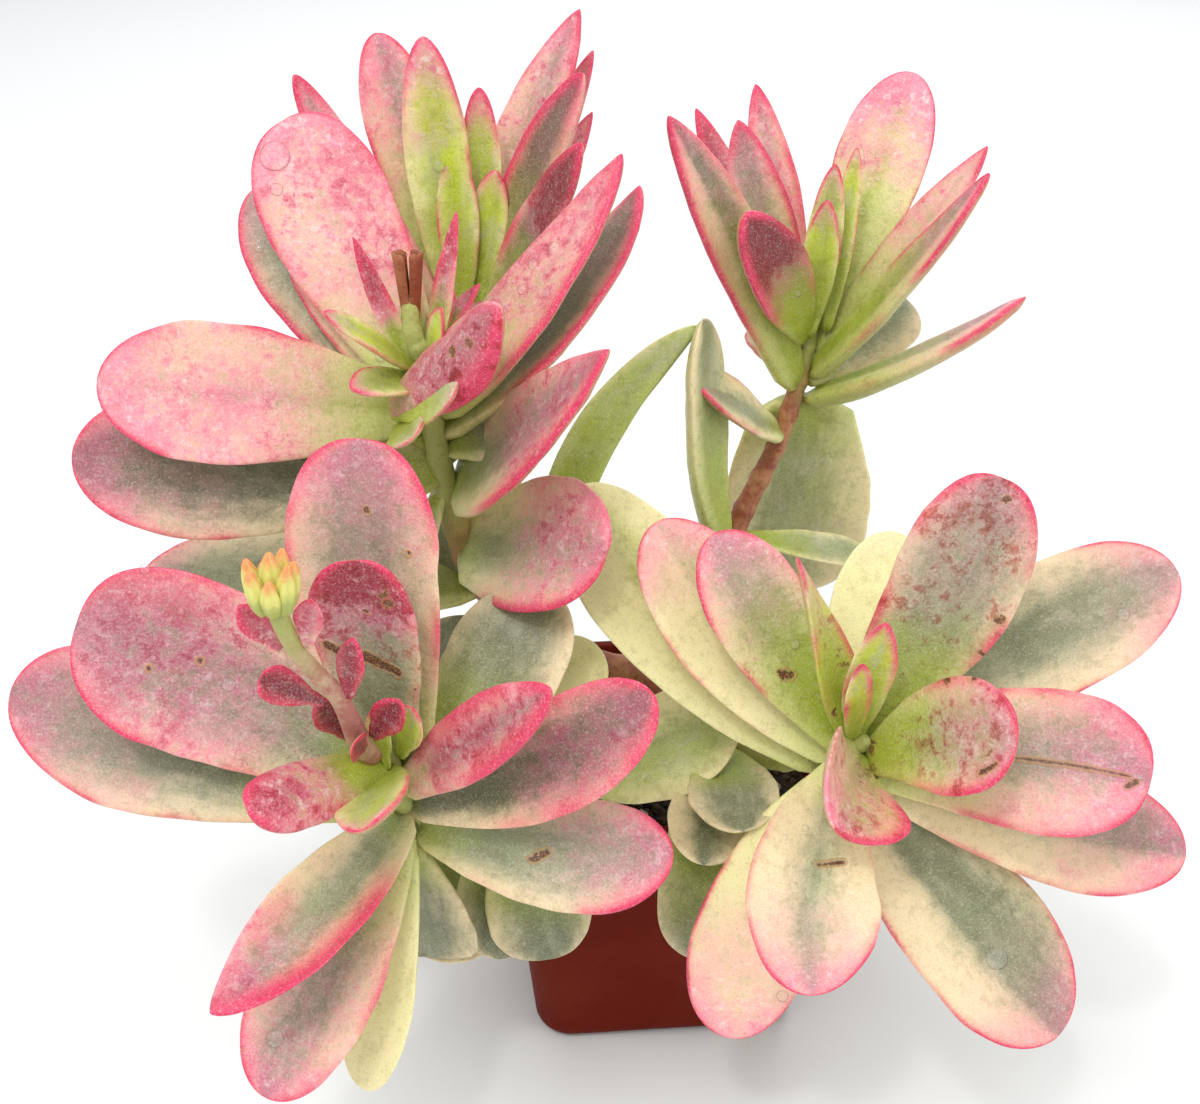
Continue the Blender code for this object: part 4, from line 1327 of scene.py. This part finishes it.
class CrassulaPotSettings(bpy.types.PropertyGroup):
    wall: length_setting("Wall", "Thickness of the pot's wall", POT_WALL)
    corner: length_setting("Corner", "Radius of the pot's upright corners", CORNER_RADIUS)
    pot: colour_setting("Plastic", "Colour of the plastic", (0.13, 0.0095, 0.003))
    pot_worn: colour_setting("Plastic, lighter", "Colour where it is rubbed", (0.17, 0.02, 0.008))
    dust: colour_setting("Dust", "Colour of dust on the plastic", (0.4, 0.3, 0.22))
    soil_dark: colour_setting("Soil", "Darkest colour of the soil", (0.018, 0.011, 0.007))
    soil_light: colour_setting("Soil, lighter", "Lightest colour of the soil", (0.09, 0.055, 0.032))
    perlite: colour_setting("Perlite", "Colour of the pale grains", (0.62, 0.58, 0.50))


class CrassulaStemSettings(bpy.types.PropertyGroup):
    bark: colour_setting("Bark", "Colour of the stems", (0.27, 0.065, 0.028))
    bark_light: colour_setting("Bark, lighter", "Colour of young bark", (0.45, 0.20, 0.085))
    bark_scar: colour_setting("Leaf scars", "Colour of old leaf scars", (0.10, 0.035, 0.02))
    shoot: colour_setting("Young stem", "Colour of a young stem", (0.40, 0.42, 0.12))
    stalk: colour_setting("Flower stalk", "Colour of the flower stalk", (0.44, 0.17, 0.14))
    stalk_light: colour_setting("Flower stalk, lighter", "Pale parts", (0.58, 0.40, 0.26))
    torn: colour_setting("Torn stalk", "Colour of the torn stalk", (0.24, 0.045, 0.012))
    torn_pale: colour_setting("Torn stalk, paler", "Paler streaks in it", (0.36, 0.12, 0.04))
    calyx: colour_setting("Calyx", "Green at the foot of the buds", (0.40, 0.44, 0.10))
    petal: colour_setting("Petals", "Yellow of the petals", (0.70, 0.66, 0.18))
    petal_tip: colour_setting("Petal tips", "Orange red of the tips", (0.76, 0.26, 0.10))


class CrassulaLeafSettings(bpy.types.PropertyGroup):
    thickness: length_setting("Thickness", "Greatest thickness of a leaf", 2.7)
    # Dark green is partly the leaves' own and partly painted shade on dark, deep-lying leaves
    dark_green_and_shade: colour_setting("Dark green", "Shaded green of the middle", (0.14, 0.145, 0.07))
    sage: colour_setting("Sage", "Grey green of the middle", (0.34, 0.36, 0.20))
    lime: colour_setting("Lime", "Green of young leaves", (0.60, 0.72, 0.05))
    pale_streak: colour_setting("Pale streaks", "Streaks in the green", (0.52, 0.52, 0.36))
    # Foot is kept darker than the leaves' own lime: partly painted shade where leaves meet the stem
    foot: colour_setting("Foot", "Lime of the leaf's foot", (0.36, 0.43, 0.035))
    cream: colour_setting("Cream", "Colour of the margins", (0.90, 0.71, 0.43))
    yellow: colour_setting("Yellow", "Margins of young leaves", (0.93, 0.89, 0.44))
    blush: colour_setting("Blush", "Pink that spreads from the tip", (1.0, 0.30, 0.60))
    powder: colour_setting("Powder pink", "Cool pink under the blush", (0.90, 0.53, 0.60))
    rosy: colour_setting("Rosy", "Pink that lies on the blush", (0.80, 0.22, 0.31))
    deep_pink: colour_setting("Deep pink", "Darkest part of the blush", (0.60, 0.18, 0.26))
    flush: colour_setting("Flush", "Salmon beside the edge", (1.0, 0.36, 0.42))
    rim: colour_setting("Rim", "The line along the edge", (0.72, 0.035, 0.12))
    frost: colour_setting("Frost", "Pale patches in the blush", (0.92, 0.80, 0.74))
    bloom: colour_setting("Bloom", "Fine pale grains on the skin", (0.82, 0.78, 0.68))
    rust: colour_setting("Rust", "Red brown of worn skin", (0.62, 0.30, 0.22))
    scar: colour_setting("Scars", "Brown specks and scars", (0.11, 0.04, 0.018))
    scar_edge: colour_setting("Scar edges", "Corky edge of a scar", (0.50, 0.26, 0.09))
    underside: colour_setting("Underside", "Tint of the lower face", (0.43, 0.44, 0.15))


class CrassulaStageSettings(bpy.types.PropertyGroup):
    floor: colour_setting("Floor", "Colour of the floor", (0.86, 0.86, 0.85))
    distance: length_setting("Camera distance", "From the camera to its target", 300)
    elevation: bpy.props.FloatProperty(name="Elevation", description="Camera angle above level",
                                       default=radians(30), subtype="ANGLE", unit="ROTATION")


SETTINGS = {
    "crassula_pot": CrassulaPotSettings,
    "crassula_stem": CrassulaStemSettings,
    "crassula_leaf": CrassulaLeafSettings,
    "crassula_stage": CrassulaStageSettings,
}


# ---------------------------------------------------------------- operators

class CRASSULA_OT_pot(bpy.types.Operator):
    """Build the plastic pot with its stepped rim, foot notches and drain holes"""
    bl_idname = "crassula.pot"
    bl_label = "Pot"

    def execute(self, context):
        settings = context.scene.crassula_pot
        sections = pot_sections(settings.wall / MM, settings.corner / MM)
        bm = bmesh.new()
        ring_solid(bm, [square_ring(*section) for section in sections])
        bmesh.ops.triangulate(bm, faces=bm.faces)
        pot = bmesh_object("moulded_pot", bm, pot_material(settings))
        for side in range(4):
            bm = bmesh.new()
            bmesh.ops.create_cube(bm, size=1)
            size = Vector((NOTCH_REACH + 2, NOTCH_WIDTH, 2 * NOTCH_HEIGHT)) * MM
            bmesh.ops.scale(bm, vec=size, verts=bm.verts)
            reach = (POT_BOTTOM / 2 - NOTCH_REACH / 2 + 1) * MM
            bmesh.ops.translate(bm, vec=(reach, 0, 0), verts=bm.verts)
            bmesh.ops.rotate(bm, matrix=Matrix.Rotation(side * pi / 2, 3, "Z"), verts=bm.verts)
            cut_away(pot, f"foot_notch_{side}", bm)
        for x in (-1, 1):
            for y in (-1, 1):
                bm = bmesh.new()
                radius = DRAIN_RADIUS * MM
                bmesh.ops.create_cone(bm, cap_ends=True, segments=32, radius1=radius,
                                      radius2=radius, depth=3 * POT_FLOOR * MM)
                place = Vector((x, y, 0)) * DRAIN_SPACING / 2 * MM
                bmesh.ops.translate(bm, vec=place, verts=bm.verts)
                cut_away(pot, f"drain_{x}_{y}", bm)
        pot.data.shade_smooth()
        pot.data.set_sharp_from_angle(angle=radians(35))
        as_piece(pot, "pot_plastic", "pot")
        return {"FINISHED"}


class CRASSULA_OT_soil(bpy.types.Operator):
    """Build the soil with its crumbs and grains of perlite"""
    bl_idname = "crassula.soil"
    bl_label = "Soil"

    def execute(self, context):
        settings = context.scene.crassula_pot
        inset = settings.wall / MM + SOIL_GAP
        edge = 2 * inset
        corner = settings.corner / MM - inset
        low = POT_FLOOR + SOIL_GAP
        rings = [square_ring(*section)
                 for section in rounded_foot(low, side_at(low) - edge, corner, BASE_RADIUS - 1)]
        outer = square_ring(side_at(SOIL_TOP) - edge, SOIL_TOP, corner)
        rings.append([Vector((p.x, p.y, SOIL_TOP - 2)) for p in outer])
        for step in range(SOIL_RINGS):
            share = 1 - step / SOIL_RINGS
            rings.append([Vector((p.x * share, p.y * share, soil_height(p.x * share, p.y * share)))
                          for p in outer])
        bm = bmesh.new()
        ring_solid(bm, rings)
        soil = bmesh_object("soil_bed", bm, soil_material(settings))
        as_piece(soil, "potting_soil", "soil")
        patch = bmesh.new()
        span = side_at(SOIL_TOP) / 2 - CRUMB_INSET
        bmesh.ops.create_grid(patch, x_segments=24, y_segments=24, size=span * MM)
        for vertex in patch.verts:
            vertex.co.z = soil_height(vertex.co.x / MM, vertex.co.y / MM) * MM
        group = scatter_tree("crumbs", 1, 0.8, True)
        crumbs = scattered("soil_crumbs", mesh_from("soil_top", patch), group, {
            "Density": 700000.0, "Smallest": 0.0004, "Largest": 0.0017, "Steepest": 0.2,
            "Seed": 5, "Material": crumb_material(settings),
        })
        as_piece(new_object("soil_crumbs", crumbs), "potting_soil")
        return {"FINISHED"}


class CRASSULA_OT_stems(bpy.types.Operator):
    """Build the two stems, melted from tubes, and the torn old stalk"""
    bl_idname = "crassula.stems"
    bl_label = "Stems"

    def execute(self, context):
        colours = context.scene.crassula_stem
        tones = (colours.shoot, colours.bark, colours.bark_light)
        bark = stem_material("crassula_bark", 26, 52, tones, colours.bark_scar)
        rear_bark = stem_material("crassula_rear_bark", 6, 22, tones, colours.bark_scar)
        paths = list(BRANCHES.values())
        tubes = [stem_tube(points) for points in paths]
        main = joined_stems("main_stem_bark", tubes, 0.5, [paths[0] + paths[1], *paths[1:]], bark)
        as_piece(main, "stem_bark", "main_stem")
        rear = joined_stems("rear_stem_bark", [stem_tube(REAR_STEM)], 0.4, [REAR_STEM],
                            rear_bark)
        as_piece(rear, "stem_bark", "rear_stem")
        torn = stem_material("torn_stalk", -2, -1, (colours.torn, colours.torn, colours.torn_pale),
                             colours.bark_scar)
        bm = bmesh.new()
        bm.from_mesh(plain_mesh("torn_stalk", *split_stalk(CUT_STALK_TOP)))
        as_piece(bmesh_object("torn_stalk", bm, torn), "stem_bark")
        return {"FINISHED"}


class CRASSULA_OT_flower(bpy.types.Operator):
    """Build the flower stalk with its bracts and buds"""
    bl_idname = "crassula.flower"
    bl_label = "Flower stalk"

    def execute(self, context):
        colours = context.scene.crassula_stem
        skin = stem_material("flower_stalk_skin", 2, 20, (colours.shoot, colours.stalk,
                                                          colours.stalk_light), colours.stalk)
        stalk = joined_stems("flower_stalk_skin", [stem_tube(FLOWER_STALK, joints=False)], 0.3,
                             [FLOWER_STALK], skin)
        as_piece(stalk, "flower_stalk", "flower_stalk")
        shells = []
        for tip, leaves in BRACTS:
            shoot = (tip, (-0.2, -0.3, 0.9), (0, -0.8, 0.6))
            for leaf in leaves:
                seed = BRACT_SEED + len(shells) + 1
                shells.append(leaf_shell(leaf, shoot, seed, BRACT_THICKNESS))
        flesh = bpy.data.materials["crassula_leaf_flesh"]
        bracts = new_object("bracts", smooth_mesh("bracts", shells), flesh)
        as_piece(bracts, "flower_stalk")
        head, up = Vector(FLOWER_HEAD), Vector((0, 0, 1))
        buds = [floret(head + up, up, *MIDDLE_BUD, BUD_OPENNESS)]
        length, width = RING_BUD
        for k in range(BUD_RING):
            angle = 2 * pi * k / BUD_RING + 0.3
            out = Vector((cos(angle), sin(angle), 0))
            tall = length + 1.1 * sin(k * 2.3)
            buds.append(floret(head + (out * 1.9 + up * 0.4), out * 0.2 + up, tall, width,
                               BUD_OPENNESS))
        mesh = smooth_mesh("flower_buds", buds)
        as_piece(new_object("flower_buds", mesh, petal_material(colours)), "flower_stalk")
        return {"FINISHED"}


class CRASSULA_OT_water(bpy.types.Operator):
    """Build the water drops that lie on the leaves"""
    bl_idname = "crassula.water"
    bl_label = "Water drops"

    def execute(self, context):
        water = water_material()
        bm = bmesh.new()
        for shoot in SHOOTS:
            for number in range(1, len(SHOOTS[shoot][3]) + 1):
                leaf = bpy.data.objects[f"skin_{shoot}_leaf_{number:02d}"]
                bm.from_mesh(leaf.data)
        group = scatter_tree("fine_drops", 2, 0.45, False)
        fine = scattered("fine_drops", mesh_from("wet_leaves", bm), group, {
            "Density": 5200.0, "Smallest": 0.00025, "Largest": 0.0011, "Steepest": 0.35,
            "Seed": 11, "Material": water,
        })
        as_piece(new_object("fine_drops", fine), "leaf_skin")
        spots = []
        for shoot, number, across, along, radius in BIG_DROPS:
            mesh = bpy.data.objects[f"skin_{shoot}_leaf_{number:02d}"].data
            place = np.empty(len(mesh.vertices) * 3, dtype=np.float32)
            mesh.attributes["leaf_place"].data.foreach_get("vector", place)
            place = place.reshape(-1, 3)
            away = (place[:, 0] - across) ** 2 + (place[:, 1] - along) ** 2 + (1 - place[:, 2]) * 9
            vertex = mesh.vertices[int(np.argmin(away))]
            spots.append((vertex.co.copy(), vertex.normal.copy(), radius * MM))
        as_piece(bmesh_object("large_drops", drop_mesh(spots), water), "leaf_skin")
        return {"FINISHED"}


class CRASSULA_OT_leaves(bpy.types.Operator):
    """Build every full-grown leaf in place of its plain solid"""
    bl_idname = "crassula.leaves"
    bl_label = "Leaves"

    def execute(self, context):
        settings = context.scene.crassula_leaf
        skin = leaf_material(settings)
        seed = 0
        for shoot, (tip, axis, facing, leaves) in SHOOTS.items():
            for number, leaf in enumerate(leaves, 1):
                seed += 1
                name = f"{shoot}_leaf_{number:02d}"
                shell = leaf_shell(leaf, (tip, axis, facing), seed, settings.thickness / MM)
                obj = new_object(f"skin_{name}", smooth_mesh(name, [shell]), skin)
                as_piece(obj, "leaf_skin", name)
        return {"FINISHED"}


class CRASSULA_OT_young_leaves(bpy.types.Operator):
    """Build the young and hidden leaves of every shoot"""
    bl_idname = "crassula.young_leaves"
    bl_label = "Young leaves"

    def execute(self, context):
        settings = context.scene.crassula_leaf
        skin = bpy.data.materials["crassula_leaf_flesh"]
        seed = YOUNG_SEED
        for shoot, leaves in YOUNG.items():
            shells = []
            for leaf in leaves:
                seed += 1
                shells.append(leaf_shell(leaf, SHOOTS[shoot][:3], seed, settings.thickness / MM))
            obj = new_object(f"young_leaves_{shoot}", smooth_mesh(f"young_{shoot}", shells), skin)
            as_piece(obj, "leaf_skin")
        return {"FINISHED"}


class CRASSULA_OT_stage(bpy.types.Operator):
    """Set up the floor, the lights and the camera"""
    bl_idname = "crassula.stage"
    bl_label = "Stage"

    def execute(self, context):
        scene = context.scene
        settings = scene.crassula_stage
        bm = bmesh.new()
        bmesh.ops.create_circle(bm, cap_ends=True, segments=96, radius=4)
        m = Recipe("pale_floor")
        tone = m.noise(m.place(), 3, 2)
        floor_dim = tuple(0.97 * part for part in settings.floor)
        m.set(Base_Color=m.blend(settings.floor, floor_dim, tone), Roughness=0.85)
        floor = bmesh_object("floor", bm, m.material, smooth=False)
        world = bpy.data.worlds.new("soft_room")
        world.use_nodes = True
        room = world.node_tree.nodes["Background"].inputs
        room["Color"].default_value = ROOM_COLOUR
        room["Strength"].default_value = ROOM_STRENGTH
        scene.world = world
        for name, place, size, power in LIGHTS:
            lamp = bpy.data.lights.new(name, "AREA")
            lamp.size = size
            lamp.energy = power
            obj = bpy.data.objects.new(name, lamp)
            obj.location = place
            aim = Vector((0, 0, 0.1)) - obj.location
            obj.rotation_euler = aim.to_track_quat("-Z", "Y").to_euler()
            scene.collection.objects.link(obj)
        camera = bpy.data.cameras.new("camera")
        camera.sensor_width = 36
        camera.lens = LENS
        camera.clip_start = 0.01
        view = bpy.data.objects.new("camera", camera)
        target = Vector(to_world([TARGET])[0])
        away = Matrix.Rotation(PLANT_TURN, 3, "Z") @ Vector(
            (0, -cos(settings.elevation), sin(settings.elevation)))
        view.location = target + away * settings.distance
        view.rotation_euler = (-away).to_track_quat("-Z", "Y").to_euler()
        scene.collection.objects.link(view)
        scene.camera = view
        scene.view_settings.view_transform = "Standard"
        return {"FINISHED"}


class CRASSULA_PT_panel(bpy.types.Panel):
    """Lists the steps and the settings"""
    bl_idname = "CRASSULA_PT_panel"
    bl_label = "Potted crassula"
    bl_space_type = "VIEW_3D"
    bl_region_type = "UI"
    bl_category = "Crassula"

    def draw(self, context):
        for step in STEPS:
            self.layout.operator(step.bl_idname)
        for name, group in SETTINGS.items():
            box = self.layout.box()
            for key in group.__annotations__:
                box.prop(getattr(context.scene, name), key)


STEPS = (
    CRASSULA_OT_pot,
    CRASSULA_OT_soil,
    CRASSULA_OT_stems,
    CRASSULA_OT_leaves,
    CRASSULA_OT_young_leaves,
    CRASSULA_OT_flower,
    CRASSULA_OT_water,
    CRASSULA_OT_stage,
)
CLASSES = (*SETTINGS.values(), *STEPS, CRASSULA_PT_panel)


def register():
    for cls in CLASSES:
        bpy.utils.register_class(cls)
    for name, group in SETTINGS.items():
        setattr(bpy.types.Scene, name, bpy.props.PointerProperty(type=group))


def unregister():
    for name in SETTINGS:
        delattr(bpy.types.Scene, name)
    for cls in reversed(CLASSES):
        bpy.utils.unregister_class(cls)


def main():
    register()
    for step in STEPS:
        family, action = step.bl_idname.split(".")
        getattr(getattr(bpy.ops, family), action)()
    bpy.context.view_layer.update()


if __name__ == "__main__":
    main()
